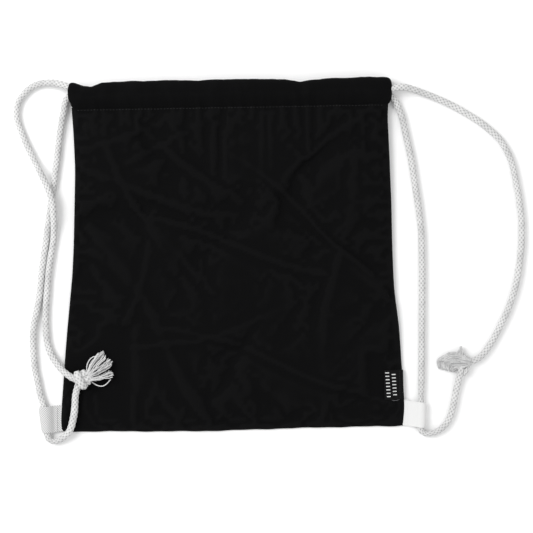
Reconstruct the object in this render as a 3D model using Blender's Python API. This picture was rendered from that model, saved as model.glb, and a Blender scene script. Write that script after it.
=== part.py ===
"""Drawstring backpack lying flat on its back: a canvas pouch with a cord casing on
each side of the mouth, and two rope drawcords that leave the casings as shoulder
straps, pass through webbing tabs at the bottom corners and end in a knot with a
frayed tassel.

Frame: the origin is the middle of the back, on the face that the bag rests on.
+X is towards the right edge as seen from the front, +Y towards the mouth, +Z out of
the front. Lengths below are in millimetres, and y is counted from the bag's bottom
edge; to_world() turns both into the frame's metres."""

import math
from collections import namedtuple

import bmesh
import bpy
import numpy as np
from mathutils import Vector

for old in list(bpy.data.objects):
    bpy.data.objects.remove(old, do_unlink=True)

# ---------------------------------------------------------------- finishes
Finish = namedtuple("Finish", "colour roughness")
ROPE_WHITE = (0.83, 0.82, 0.80)

CANVAS_FINISH = Finish(colour=(0.012, 0.012, 0.013), roughness=0.92)
THREAD_FINISH = Finish(colour=(0.02, 0.02, 0.022), roughness=0.8)
ROPE_FINISH = Finish(colour=ROPE_WHITE, roughness=0.9)
FRAYED_FINISH = Finish(colour=ROPE_WHITE, roughness=0.95)
WEBBING_FINISH = Finish(colour=(0.86, 0.86, 0.85), roughness=0.85)
LABEL_FINISH = Finish(colour=(0.018, 0.018, 0.02), roughness=0.7)

# ---------------------------------------------------------------- driving dimensions
MID_HEIGHT = 193.0  # height of the frame's origin above the bottom edge
PANEL_TOP = 357.7  # where the panels end and their casings begin
CANVAS = 1.0  # canvas thickness
GAP = 0.3  # running gap between neighbouring pieces
THREAD = 0.6  # width and thickness of a line of stitching

# Side edges of both panels: height, left x, right x
SIDE_EDGES = [
    (0.0, -190.0, 190.0),
    (34.0, -188.5, 190.0),
    (90.0, -183.0, 187.5),
    (135.0, -178.5, 183.0),
    (170.0, -174.5, 180.5),
    (240.0, -171.0, 179.5),
    (290.0, -169.0, 178.5),
    (345.0, -170.5, 177.0),
    (PANEL_TOP, -171.5, 177.5),
]
STATIONS, LEFT_EDGE, RIGHT_EDGE = zip(*SIDE_EDGES)

FRONT_LOW_Z = 2.6  # underside of the front panel at the bottom edge
FRONT_RISE = 9.9  # how much higher it lies at the panel's top

SEAM_IN = 1.5  # from the panel's edge to the seam allowance
SEAM_WIDE = 7.0
SIDE_SEAM_ENDS = (0.8, PANEL_TOP - 1.2)
BOTTOM_SEAM_HALF = 176.0

CASING_LOW, CASING_HIGH = 358.0, 385.7
CASING_LEFT, CASING_RIGHT = -165.0, 172.0
CASING_DEPTH = 9.4
CASING_WALL = 0.8
CASING_CORNER = 3.4  # outer corner radius of the sleeve
CASING_STITCH_Y = 354.0
CASING_STITCH_X = (CASING_LEFT + 4, CASING_RIGHT - 6)
CASING_STITCH_LIFT = 0.35  # above the front panel

CORD_RADIUS = 3.5  # 7 mm braided rope
CORD_SIDES = 8
REAR_RUN_Z = CASING_DEPTH / 2
FRONT_RUN_Z = 15.1
LEFT_CORD_Y, RIGHT_CORD_Y = 376.4, 368.6  # where each drawcord runs in the casings
CORD_SPLIT = 0.2  # from a casing's mouth to the cord's end on either side of it
LEFT_EXIT_X = CASING_LEFT - CORD_SPLIT
RIGHT_EXIT_X = CASING_RIGHT + CORD_SPLIT

LABEL_X = (168.0, 187.2)
LABEL_Y = (29.6, 62.4)
LABEL_THICK = 0.8
LABEL_LIFT = 0.4  # above the front panel
LABEL_STITCH_X = 185.3
LABEL_STITCH_IN = 1.0  # from the label's ends to the stitching's
LABEL_PIVOT = (187.8, 46.0, 5.2)

TAB_THICK = 0.8
TAB_HOLE_X, TAB_HOLE_Z = 5.0, 3.9  # half axes of the loop that holds the cord
TAB_FOLD_EXTRA = 0.1  # extra thickness at the fold
TAB_CORD_Z = 4.7
TAB_SEAM_Z = (1.2, 3.4)  # underside and top at the seam
TAB_STITCH_X = 193.3
TAB_STITCH_Y = (2.6, 26.8)
TAB_STITCH_Z = 4.75

# Tab ends, bottom then top: (x, y) in the seam, (x, y) at the fold
LEFT_TAB = (((-191.8, 0.4), (-209.8, -0.8)), ((-191.8, 29.0), (-213.4, 28.2)))
RIGHT_TAB = (((191.8, 0.4), (213.2, -2.0)), ((191.8, 29.0), (214.8, 25.3)))

# Where the straps hang from the side seams, and the left knot's loop from its tab
LEFT_STRAP_PIVOT = (-190.8, 0.0, 2.3)
RIGHT_STRAP_PIVOT = (190.8, 0.0, 2.3)
LEFT_LOOP_PIVOT = (-204.9, -2.7, TAB_CORD_Z)

Knot = namedtuple("Knot", "centre half_axes")
LEFT_KNOT = Knot(centre=(-166.2, 57.4, 14.0), half_axes=(9.0, 10.5, 8.0))
RIGHT_KNOT = Knot(centre=(256.3, 67.2, 7.4), half_axes=(7.5, 9.5, 7.0))
RIGHT_KNOT_ENTRY = (256.3, 67.2, 7.0)  # both right strands aim just under the centre
KNOT_CLEARANCE = 0.5  # between a knot and the ends of its strands

# ---------------------------------------------------------------- strand centrelines
# Control points x, y, z.
# The right strap: its front strand swings out in a wide loop.
RIGHT_FRONT_STRAND = [
    (RIGHT_EXIT_X, RIGHT_CORD_Y, FRONT_RUN_Z), (175, RIGHT_CORD_Y, FRONT_RUN_Z),
    (180, 368.8, 14.9), (186, 370.6, 13.8), (192, 372.2, 12.2), (199, 372.2, 10.2),
    (209, 369.5, 7.5), (224, 364.8, 4.6), (236, 360, 3.7), (254, 351, 3.6),
    (277, 337.3, 3.6), (291, 326, 3.6), (303, 314, 3.6), (314, 292, 3.6),
    (318.5, 270, 3.6), (322, 248, 3.6), (324, 226, 3.6), (323.5, 203, 3.6),
    (321, 181, 3.6), (317, 159, 3.6), (310.5, 137, 3.6), (301, 115, 3.6),
    (289, 93, 3.6), (282, 82.5, 3.7), (274, 74, 4.4), (265.5, 69.5, 6.0),
    RIGHT_KNOT_ENTRY,
]
RIGHT_REAR_STRAND = [
    (RIGHT_EXIT_X, RIGHT_CORD_Y, REAR_RUN_Z), (175, RIGHT_CORD_Y, REAR_RUN_Z),
    (180, 368, 4.6), (185.2, 364.3, 4.2), (187.6, 358.5, 3.8), (189, 352, 3.6),
    (193, 341.5, 3.6), (197, 322, 3.6), (202.5, 294, 3.6), (207, 261, 3.6),
    (210, 238, 3.6), (212.3, 210, 3.6), (212.3, 172, 3.6), (212, 150, 3.6),
    (211, 106, 3.6), (210, 70, 3.6), (209.4, 45, 3.7), (209.0, 33, 4.3),
    (208.7, 26, TAB_CORD_Z), (208.0, 12, TAB_CORD_Z), (207.5, 1, TAB_CORD_Z),
    (207.4, -2.0, TAB_CORD_Z),
]
RIGHT_TAIL = [
    (207.4, -2.7, TAB_CORD_Z), (207.5, -4.7, TAB_CORD_Z), (209.2, -8.8, 4.3),
    (213.2, -11, 3.8), (219.2, -11, 3.6), (226.2, -8.6, 3.6), (233.4, -2.6, 3.6),
    (239.1, 5.3, 3.6), (242.3, 14.3, 3.6), (245.1, 27.1, 3.6), (247.7, 38.9, 3.7),
    (250.3, 50, 4.8), RIGHT_KNOT_ENTRY,
]
# The left strap: its front strand loops out, crosses over the rear one and comes
# back over the pouch to the knot.
LEFT_UPPER_LOOP = [
    (LEFT_EXIT_X, LEFT_CORD_Y, FRONT_RUN_Z), (-168, LEFT_CORD_Y, FRONT_RUN_Z),
    (-173, 377.7, 14.7), (-180, 381.4, 13.0), (-190, 385.2, 9.6), (-201.4, 385.6, 5.6),
    (-210.5, 384, 3.9), (-219.2, 379.1, 3.6), (-226, 372.6, 3.6), (-231.1, 363.9, 3.6),
    (-233, 353.9, 3.6), (-231.5, 343.9, 3.6), (-227.8, 333.9, 3.6), (-222.4, 322.7, 3.7),
    (-216, 310.4, 4.6), (-208.5, 295.8, 8.0), (-201, 279.1, 11.2), (-195.9, 265.7, 11.4),
    (-193.6, 254, 10.9), (-193.2, 243.9, 9.7),
]
LEFT_KNOT_STRAND = [
    (-193.2, 242.4, 9.5), (-193.0, 235, 8.2), (-193.6, 221.3, 4.8), (-195.2, 208, 3.7),
    (-198, 192.6, 3.6), (-200.8, 173.8, 3.6), (-202.4, 157.2, 3.6), (-203.9, 140.6, 3.6),
    (-204.6, 124, 3.6), (-204.2, 109.6, 3.6), (-202.6, 96.3, 3.8), (-199, 85.1, 4.8),
    (-193.5, 75.1, 7.0), (-187, 67.2, 9.6), (-179.3, 61.5, 11.6), LEFT_KNOT.centre,
]
LEFT_REAR_STRAND = [
    (LEFT_EXIT_X, LEFT_CORD_Y, REAR_RUN_Z), (-168, LEFT_CORD_Y, REAR_RUN_Z),
    (-173, 376.6, 4.6), (-178, 373.4, 4.4), (-180.3, 366, 4.0), (-180.6, 357, 3.7),
    (-183.4, 345, 3.6), (-186.4, 323, 3.6), (-189, 301, 3.6), (-192.2, 279, 3.6),
    (-195.6, 258, 3.6), (-199.2, 236, 3.6), (-201.4, 221, 3.6), (-203.2, 208, 3.6),
    (-205.8, 192, 3.6), (-208.6, 173, 3.6), (-210.2, 157, 3.6), (-212.2, 145, 3.6),
    (-217.2, 124, 3.6), (-219.2, 108, 3.6), (-219.6, 91, 3.6), (-218, 69, 3.6),
    (-215.2, 57, 3.6), (-212.4, 44, 3.8), (-209.6, 34, 4.4), (-208.2, 28, TAB_CORD_Z),
    (-206.5, 13, TAB_CORD_Z), (-205.0, 1, TAB_CORD_Z), (-204.9, -2.0, TAB_CORD_Z),
]
LEFT_TAIL = [
    (-204.9, -3.0, TAB_CORD_Z), (-204.8, -5.0, TAB_CORD_Z), (-203.2, -8.9, 4.4),
    (-199.6, -11.2, 4.0), (-195.6, -11.2, 3.9), (-191.2, -9.2, 4.4), (-187, -5.8, 5.8),
    (-183, -1.8, 7.5), (-179.8, 3.6, 8.1), (-177.3, 11.9, 8.3), (-175.5, 20.2, 8.5),
    (-174.6, 28.8, 8.8), (-173.7, 38.9, 9.6), (-171.6, 46, 11.0), LEFT_KNOT.centre,
]

# Tassels: the direction of the fan in degrees from +X, then per row the distance
# from the knot's centre, half angle of the fan, z of its middle, half depth.
LEFT_TASSEL_HEADING = 43.0
LEFT_TASSEL_ROWS = [
    (11.2, 21, 13.4, 3.2),
    (17, 25, 12.0, 3.0),
    (25, 30, 10.6, 2.6),
    (34, 33, 9.4, 2.1),
    (46, 33, 8.7, 1.4),
]
RIGHT_TASSEL_HEADING = 171.0
RIGHT_TASSEL_ROWS = [
    (9.4, 30, 6.2, 3.0),
    (14, 38, 5.2, 3.0),
    (19, 34, 4.4, 2.8),
    (25, 24, 3.6, 2.4),
    (30, 14, 2.9, 1.8),
]


# ---------------------------------------------------------------- objects
def to_world(point):
    x, y, z = point
    return Vector((x, y - MID_HEIGHT, z)) * 0.001


def material(name, finish):
    made = bpy.data.materials.new(name)
    made.use_nodes = True
    shader = made.node_tree.nodes["Principled BSDF"]
    shader.inputs["Base Color"].default_value = (*finish.colour, 1.0)
    shader.inputs["Roughness"].default_value = finish.roughness
    shader.inputs["Metallic"].default_value = 0.0
    return made


def pivot(name, point):
    """An empty on a joint's axis, which its moving pieces hang from."""
    empty = bpy.data.objects.new(name, None)
    bpy.context.scene.collection.objects.link(empty)
    empty.location = to_world(point)
    empty.empty_display_size = 0.01
    return empty


def add(name, bm, finish, parent=None, sharp_angle=None):
    """Turn a bmesh in millimetres into a named object with its own material.
    It is shaded smooth up to sharp_angle degrees, or flat without one."""
    for vert in bm.verts:
        vert.co = to_world(vert.co)
    bmesh.ops.recalc_face_normals(bm, faces=bm.faces)
    if bm.calc_volume(signed=True) < 0:
        bmesh.ops.reverse_faces(bm, faces=bm.faces)
    if parent is not None:
        bmesh.ops.translate(bm, verts=bm.verts, vec=-parent.location)
    mesh = bpy.data.meshes.new(name)
    bm.to_mesh(mesh)
    bm.free()
    obj = bpy.data.objects.new(name, mesh)
    bpy.context.scene.collection.objects.link(obj)
    mesh.materials.append(material(name + "_material", finish))
    if sharp_angle is not None:
        mesh.shade_smooth()
        mesh.set_sharp_from_angle(angle=math.radians(sharp_angle))
    obj.parent = parent


# ---------------------------------------------------------------- mesh builders
def add_rings(bm, sections):
    return [[bm.verts.new(point) for point in section] for section in sections]


def bridge(bm, rings):
    """Join each closed ring to the next with quads."""
    count = len(rings[0])
    for a, b in zip(rings, rings[1:]):
        for k in range(count):
            following = (k + 1) % count
            bm.faces.new((a[k], a[following], b[following], b[k]))


def loft(sections):
    """Bridge closed loops of equally many points, and cap the two ends."""
    bm = bmesh.new()
    rings = add_rings(bm, sections)
    bridge(bm, rings)
    bm.faces.new(rings[0])
    bm.faces.new(rings[-1])
    return bm


def sleeve(outer_sections, inner_sections):
    """An open-ended wall between an outer and an inner row of loops."""
    bm = bmesh.new()
    outer = add_rings(bm, outer_sections)
    inner = add_rings(bm, inner_sections)
    for rings in (outer, inner, (outer[0], inner[0]), (outer[-1], inner[-1])):
        bridge(bm, rings)
    return bm


def box(low, high):
    bm = bmesh.new()
    bmesh.ops.create_cube(bm, size=1.0)
    for vert in bm.verts:
        vert.co = Vector(low[i] if vert.co[i] < 0 else high[i] for i in range(3))
    return bm


def slab(x_range, z_range, heights):
    """A plate across the bag whose edges and faces follow functions of the height."""
    sections = []
    for y in heights:
        x0, x1 = x_range(y)
        z0, z1 = z_range(y)
        sections.append([(x0, y, z0), (x1, y, z0), (x1, y, z1), (x0, y, z1)])
    return loft(sections)


def tube(path):
    """A round closed cord along a path, turned as little as possible on the way."""
    last = len(path) - 1
    tangents = [
        (path[min(i + 1, last)] - path[max(i - 1, 0)]).normalized() for i in range(last + 1)
    ]
    side = tangents[0].cross(Vector((0, 0, 1))).normalized()
    sections = []
    for point, tangent in zip(path, tangents):
        side = (side - tangent * side.dot(tangent)).normalized()
        up = side.cross(tangent)
        angles = [2 * math.pi * k / CORD_SIDES for k in range(CORD_SIDES)]
        sections.append(
            [point + CORD_RADIUS * (math.cos(a) * side + math.sin(a) * up) for a in angles]
        )
    return loft(sections)


# ---------------------------------------------------------------- pouch
def edges_at(height):
    """Left and right x of the panels."""
    return np.interp(height, STATIONS, LEFT_EDGE), np.interp(height, STATIONS, RIGHT_EDGE)


def front_under(height):
    """Underside of the front panel, which rises towards its thicker casing."""
    return FRONT_LOW_Z + FRONT_RISE * height / PANEL_TOP


def front_top(height):
    return front_under(height) + CANVAS


def between_panels(height):
    return CANVAS + GAP, front_under(height) - GAP


def panels():
    def front_faces(y):
        return front_under(y), front_top(y)

    add("rear_panel", slab(edges_at, lambda y: (0.0, CANVAS), STATIONS), CANVAS_FINISH)
    add("front_panel", slab(edges_at, front_faces, STATIONS), CANVAS_FINISH)


def bottom_seam():
    def across(y):
        return -BOTTOM_SEAM_HALF, BOTTOM_SEAM_HALF

    heights = (SEAM_IN, SEAM_IN + SEAM_WIDE)
    add("bottom_seam", slab(across, between_panels, heights), CANVAS_FINISH)


def side_seam(name, side, parent):
    """The sewn seam allowance between the two panels; side is -1 left, 1 right."""

    def across(y):
        left, right = edges_at(y)
        if side < 0:
            return left + SEAM_IN, left + SEAM_IN + SEAM_WIDE
        return right - SEAM_IN - SEAM_WIDE, right - SEAM_IN

    low, high = SIDE_SEAM_ENDS
    heights = [low, *STATIONS[1:-1], high]
    add(name, slab(across, between_panels, heights), CANVAS_FINISH, parent)


def casing(name, middle_z):
    """The folded hem as a rounded sleeve, open at both ends for the cords."""

    def sections(inset):
        radius = CASING_CORNER - inset
        low_y = CASING_LOW + inset + radius
        high_y = CASING_HIGH - inset - radius
        reach_z = CASING_DEPTH / 2 - inset - radius
        low_z, high_z = middle_z - reach_z, middle_z + reach_z
        corners = ((high_y, high_z, 0), (low_y, high_z, 90), (low_y, low_z, 180),
                   (high_y, low_z, 270))
        contour = []
        for y, z, start in corners:
            for k in range(4):
                a = math.radians(start + 30 * k)
                contour.append((y + radius * math.cos(a), z + radius * math.sin(a)))
        return [[(x, y, z) for y, z in contour] for x in (CASING_LEFT, CASING_RIGHT)]

    add(name, sleeve(sections(0.0), sections(CASING_WALL)), CANVAS_FINISH, sharp_angle=40)


def casing_stitching(name, low_z):
    left, right = CASING_STITCH_X
    low = (left, CASING_STITCH_Y, low_z)
    high = (right, CASING_STITCH_Y + THREAD, low_z + THREAD)
    add(name, box(low, high), THREAD_FINISH)


def casing_run(name, mouth_x, far_x, y):
    """One drawcord inside both casings, with its U-turn at the far end."""
    straight_steps, bend_steps = 6, 10
    out = 1 if far_x > mouth_x else -1
    middle = (REAR_RUN_Z + FRONT_RUN_Z) / 2
    bend = (FRONT_RUN_Z - REAR_RUN_Z) / 2
    span = far_x - mouth_x
    path = [
        Vector((mouth_x + span * k / straight_steps, y, FRONT_RUN_Z))
        for k in range(straight_steps)
    ]
    for k in range(bend_steps + 1):
        a = math.radians(90 - 180 / bend_steps * k)
        path.append(Vector((far_x + out * bend * math.cos(a), y, middle + bend * math.sin(a))))
    path += [
        Vector((far_x - span * k / straight_steps, y, REAR_RUN_Z))
        for k in range(1, straight_steps + 1)
    ]
    add(name, tube(path), ROPE_FINISH, sharp_angle=60)


def label(parent):
    """The label on the front panel near its right edge, and its line of stitching."""

    def label_faces(y):
        low = front_top(y) + LABEL_LIFT
        return low, low + LABEL_THICK

    def stitch_faces(y):
        low = label_faces(y)[1] + GAP
        return low, low + THREAD

    def stitch_sides(y):
        return LABEL_STITCH_X, LABEL_STITCH_X + THREAD

    add("side_label", slab(lambda y: LABEL_X, label_faces, LABEL_Y), LABEL_FINISH, parent)
    heights = (LABEL_Y[0] + LABEL_STITCH_IN, LABEL_Y[1] - LABEL_STITCH_IN)
    stitching = slab(stitch_sides, stitch_faces, heights)
    add("label_stitching", stitching, THREAD_FINISH, parent)


# ---------------------------------------------------------------- tabs
def tab(name, ends, parent):
    """A webbing loop: both ends lie together in the side seam, and the fold holds
    the cord."""
    # Profiles across the tab: distance in from the fold (None for the seam), z
    outer_half_x = TAB_HOLE_X + TAB_THICK + TAB_FOLD_EXTRA

    def arc(half_x, half_z, degrees):
        return [
            (
                outer_half_x - half_x * math.cos(math.radians(a)),
                TAB_CORD_Z + half_z * math.sin(math.radians(a)),
            )
            for a in degrees
        ]

    def place(profile, seam, fold):
        width = math.dist(seam, fold)
        points = []
        for reach, z in profile:
            share = 0.0 if reach is None else 1 - reach / width
            x, y = (s + (f - s) * share for s, f in zip(seam, fold))
            points.append((x, y, z))
        return points

    angles = [-110, -80, -50, -25, 0, 25, 50, 80, 110]
    low_z, high_z = TAB_SEAM_Z
    fold_arc = arc(outer_half_x, TAB_HOLE_Z + TAB_THICK, angles)
    outer = [(None, low_z), *fold_arc, (None, high_z)]
    inner = arc(TAB_HOLE_X, TAB_HOLE_Z, [-155, *angles, 155])
    wall = sleeve(
        [place(outer, seam, fold) for seam, fold in ends],
        [place(inner, seam, fold) for seam, fold in ends],
    )
    add(name, wall, WEBBING_FINISH, parent, sharp_angle=50)


def tab_stitching(name, low_x, parent):
    low_y, high_y = TAB_STITCH_Y
    low = (low_x, low_y, TAB_STITCH_Z)
    high = (low_x + THREAD, high_y, TAB_STITCH_Z + THREAD)
    add(name, box(low, high), THREAD_FINISH, parent)


# ---------------------------------------------------------------- straps
SPAN_SAMPLES = 16  # curve samples between two control points
FIRST_RING = 4  # sample that carries the second ring
RING_STEP = 11.0  # greatest distance between rings, before rounding up to a sample
RING_TURN = math.radians(17)  # turn that calls for a ring sooner
RING_MIN_STEP = 1.2  # and how far it must then be from the last ring
END_MIN_STEP = 1.0  # a ring closer than this to the end is dropped


def catmull_rom(points):
    """Fine samples of the curve through the control points."""
    pts = [Vector(p) for p in points]
    pts = [2 * pts[0] - pts[1]] + pts + [2 * pts[-1] - pts[-2]]
    fine = []
    for p0, p1, p2, p3 in zip(pts, pts[1:], pts[2:], pts[3:]):
        for k in range(SPAN_SAMPLES):
            t = k / SPAN_SAMPLES
            fine.append(
                0.5
                * (
                    2 * p1
                    + (p2 - p0) * t
                    + (2 * p0 - 5 * p1 + 4 * p2 - p3) * t * t
                    + (3 * p1 - p0 - 3 * p2 + p3) * t**3
                )
            )
    fine.append(pts[-2])
    return fine


def strand_path(points):
    """Ring centres along the curve, closer together where it turns."""
    fine = catmull_rom(points)
    path = [fine[0], fine[FIRST_RING]]
    travelled = turned = 0.0
    for i in range(FIRST_RING + 1, len(fine) - 1):
        before, after = fine[i] - fine[i - 1], fine[i + 1] - fine[i]
        travelled += before.length
        turned += before.angle(after, 0.0)
        if travelled >= RING_STEP or (turned > RING_TURN and travelled > RING_MIN_STEP):
            path.append(fine[i])
            travelled = turned = 0.0
    if (path[-1] - fine[-1]).length < END_MIN_STEP:
        path.pop()
    path.append(fine[-1])
    return path


def outside(path, knot):
    """The path up to where it meets a knot's ellipsoid, with a small gap left."""
    size = [half + KNOT_CLEARANCE for half in knot.half_axes]

    def is_clear(point):
        return sum(((point[i] - knot.centre[i]) / size[i]) ** 2 for i in range(3)) > 1

    first_inside = next(i for i, point in enumerate(path) if i and not is_clear(point))
    kept = path[:first_inside]
    low, high = kept[-1], path[first_inside]
    for _ in range(30):
        middle = (low + high) / 2
        if is_clear(middle):
            low = middle
        else:
            high = middle
    if (low - kept[-1]).length > 0.4:  # avoids a sliver between the last two rings
        kept.append(low)
    return kept


def strand(name, points, parent, knot=None):
    path = strand_path(points)
    if knot:
        path = outside(path, knot)
    add(name, tube(path), ROPE_FINISH, parent, sharp_angle=60)


def knot_body(name, knot, parent):
    """The overhand knot as a lump pinched by the turns of the rope."""
    pinch_depth, pinch_count, pinch_phase = 0.07, 3, 0.6
    bm = bmesh.new()
    bmesh.ops.create_uvsphere(bm, u_segments=14, v_segments=9, radius=1.0)
    for vert in bm.verts:
        x, y, z = vert.co
        wave = 0.5 + 0.5 * math.cos(pinch_count * math.atan2(y, x) + pinch_phase)
        pinch = 1 - pinch_depth * wave * (1 - z * z)
        shape = (x * pinch, y * pinch, z)
        vert.co = [c + half * s for c, half, s in zip(knot.centre, knot.half_axes, shape)]
    add(name, bm, ROPE_FINISH, parent, sharp_angle=60)


def tassel(name, knot, heading, rows, parent):
    """The frayed rope ends as a flat fan beside the knot, thinner at its sides."""
    steps = 6
    side_thinning = 0.6
    centre_x, centre_y, _ = knot.centre
    sections = []
    for distance, half_angle, z, depth in rows:
        under, over = [], []
        for k in range(steps + 1):
            a = math.radians(heading - half_angle + 2 * half_angle * k / steps)
            x = centre_x + distance * math.cos(a)
            y = centre_y + distance * math.sin(a)
            reach = depth * (side_thinning if k in (0, steps) else 1.0)
            under.append((x, y, z - reach))
            over.append((x, y, z + reach))
        sections.append(under + over[::-1])
    add(name, loft(sections), FRAYED_FINISH, parent, sharp_angle=50)


# ---------------------------------------------------------------- assembly
panels()
bottom_seam()
casing("rear_casing", REAR_RUN_Z)
casing("front_casing", FRONT_RUN_Z)
casing_stitching("front_casing_stitching", front_top(CASING_STITCH_Y) + CASING_STITCH_LIFT)
casing_stitching("rear_casing_stitching", CANVAS + GAP)
casing_run(
    "left_drawcord_casing_run", CASING_LEFT + CORD_SPLIT, CASING_RIGHT + 0.5, LEFT_CORD_Y
)
casing_run("right_drawcord_casing_run", CASING_RIGHT - CORD_SPLIT, CASING_LEFT, RIGHT_CORD_Y)

left_side = pivot("left_side_pivot", (LEFT_EDGE[0], 0.0, 0.0))
right_side = pivot("right_side_pivot", (RIGHT_EDGE[0], 0.0, 0.0))
side_seam("left_side_seam", -1, left_side)
side_seam("right_side_seam", 1, right_side)
label(pivot("side_label_pivot", LABEL_PIVOT))

left_strap = pivot("left_strap_pivot", LEFT_STRAP_PIVOT)
right_strap = pivot("right_strap_pivot", RIGHT_STRAP_PIVOT)
tab("left_tab", LEFT_TAB, left_strap)
tab("right_tab", RIGHT_TAB, right_strap)
tab_stitching("left_tab_stitching", -TAB_STITCH_X - THREAD, left_strap)
tab_stitching("right_tab_stitching", TAB_STITCH_X, right_strap)

strand("left_cord_rear_strand", LEFT_REAR_STRAND, left_strap)
strand("left_cord_upper_loop", LEFT_UPPER_LOOP, left_strap)
strand("right_cord_front_strand", RIGHT_FRONT_STRAND, right_strap, RIGHT_KNOT)
strand("right_cord_rear_strand", RIGHT_REAR_STRAND, right_strap)
strand("right_cord_tail", RIGHT_TAIL, right_strap, RIGHT_KNOT)
knot_body("right_knot", RIGHT_KNOT, right_strap)

left_loop = pivot("left_knot_loop_pivot", LEFT_LOOP_PIVOT)
strand("left_cord_knot_strand", LEFT_KNOT_STRAND, left_loop, LEFT_KNOT)
strand("left_cord_tail", LEFT_TAIL, left_loop, LEFT_KNOT)
knot_body("left_knot", LEFT_KNOT, left_loop)

left_tassel = pivot("left_tassel_pivot", LEFT_KNOT.centre)
right_tassel = pivot("right_tassel_pivot", RIGHT_KNOT.centre)
tassel("left_tassel", LEFT_KNOT, LEFT_TASSEL_HEADING, LEFT_TASSEL_ROWS, left_tassel)
tassel("right_tassel", RIGHT_KNOT, RIGHT_TASSEL_HEADING, RIGHT_TASSEL_ROWS, right_tassel)
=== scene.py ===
"""A drawstring backpack: black canvas pouch, braided white rope straps, webbing tabs and
knots with frayed tassels. It lies on its rear panel: +X is to the right, +Y runs from the
pouch's bottom edge up to its mouth, and +Z points away from the floor, out of the front.
Lengths are millimetres, with Y counted from the bottom edge; to_metres() converts them."""

import math
import random

import bpy
import numpy as np
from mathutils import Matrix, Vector


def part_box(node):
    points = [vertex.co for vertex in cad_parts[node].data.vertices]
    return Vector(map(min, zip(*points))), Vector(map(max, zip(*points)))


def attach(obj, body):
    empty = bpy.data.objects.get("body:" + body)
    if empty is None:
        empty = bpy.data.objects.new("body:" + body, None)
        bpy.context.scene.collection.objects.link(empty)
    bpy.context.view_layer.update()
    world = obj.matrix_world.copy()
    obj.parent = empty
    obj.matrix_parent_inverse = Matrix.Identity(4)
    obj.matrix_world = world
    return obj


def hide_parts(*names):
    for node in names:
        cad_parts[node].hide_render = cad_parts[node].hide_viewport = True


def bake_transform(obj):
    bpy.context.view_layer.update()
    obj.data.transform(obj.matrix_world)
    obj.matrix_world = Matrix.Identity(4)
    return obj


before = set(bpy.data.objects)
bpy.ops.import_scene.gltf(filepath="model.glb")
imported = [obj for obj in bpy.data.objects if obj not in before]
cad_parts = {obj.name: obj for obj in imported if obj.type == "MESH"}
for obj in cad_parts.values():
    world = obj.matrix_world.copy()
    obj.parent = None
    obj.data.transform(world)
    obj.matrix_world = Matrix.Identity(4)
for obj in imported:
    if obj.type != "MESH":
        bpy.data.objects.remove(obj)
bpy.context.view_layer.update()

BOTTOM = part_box("rear_panel")[0].y * 1000  # the bottom edge in the frame
PANEL_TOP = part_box("front_panel")[1].y * 1000 - BOTTOM
LABEL_LOW, LABEL_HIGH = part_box("side_label")
LABEL_LEFT = LABEL_LOW.x * 1000
LABEL_BOTTOM = LABEL_LOW.y * 1000 - BOTTOM
LABEL_TOP = LABEL_HIGH.y * 1000 - BOTTOM

UP = np.array([0.0, 0.0, 1.0])
TWO_PI = 2 * math.pi
HANDS = {-1: "left", 1: "right"}  # by the sign of x
FACES = {1: "front", -1: "rear"}  # by the sign of the outward z


# ---------------------------------------------------------------- small mathematics
def to_metres(points):
    out = np.array(points, float)
    out[..., 1] += BOTTOM
    return out * 0.001


def smooth01(t):
    t = np.clip(t, 0.0, 1.0)
    return t * t * (3 - 2 * t)


def bell(x, width):
    return np.exp(-((x / width) ** 2))


def unit(vectors):
    return vectors / np.maximum(np.linalg.norm(vectors, axis=-1), 1e-9)[..., None]


def gaussian_kernel(sigma):
    """Weights for smoothing by sigma samples, and how many there are on each side."""
    reach = int(3 * sigma)
    kernel = np.exp(-0.5 * (np.arange(-reach, reach + 1) / sigma) ** 2)
    return kernel / kernel.sum(), reach


def value_noise(x, y, cell, seed):
    """Smooth two-way noise in -1..1, the same each run."""
    grid = np.random.default_rng(seed).uniform(-1, 1, (64, 64))
    fx, fy = np.asarray(x) / cell + 20, np.asarray(y) / cell + 20
    ix, iy = np.floor(fx).astype(int), np.floor(fy).astype(int)
    tx, ty = fx - ix, fy - iy
    tx, ty = tx * tx * (3 - 2 * tx), ty * ty * (3 - 2 * ty)
    low = grid[ix % 64, iy % 64] * (1 - tx) + grid[(ix + 1) % 64, iy % 64] * tx
    high = grid[ix % 64, (iy + 1) % 64] * (1 - tx) + grid[(ix + 1) % 64, (iy + 1) % 64] * tx
    return low * (1 - ty) + high * ty


def catmull(points, per=24):
    """A Catmull-Rom curve through the points, with `per` samples between two of them."""
    p = np.asarray(points, float)
    p = np.vstack([2 * p[0] - p[1], p, 2 * p[-1] - p[-2]])
    t = (np.arange(per) / per)[:, None]
    out = []
    for i in range(1, len(p) - 2):
        p0, p1, p2, p3 = p[i - 1 : i + 3]
        square = (2 * p0 - 5 * p1 + 4 * p2 - p3) * t**2
        cube = (3 * p1 - p0 - 3 * p2 + p3) * t**3
        out.append(0.5 * (2 * p1 + (p2 - p0) * t + square + cube))
    return np.vstack(out + [p[-2:-1]])


def bezier(p0, p1, p2, p3, count):
    t = np.linspace(0, 1, count)[:, None]
    return (1 - t) ** 3 * p0 + 3 * (1 - t) ** 2 * t * p1 + 3 * (1 - t) * t**2 * p2 + t**3 * p3


def arc_length(path):
    return np.concatenate([[0], np.cumsum(np.linalg.norm(np.diff(path, axis=0), axis=1))])


def even(path, step):
    """The path sampled evenly, about a step apart, and its arc lengths."""
    s = arc_length(path)
    at = np.linspace(0, s[-1], max(3, int(round(s[-1] / step)) + 1))
    return np.stack([np.interp(at, s, path[:, k]) for k in range(path.shape[1])], 1), at


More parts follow.
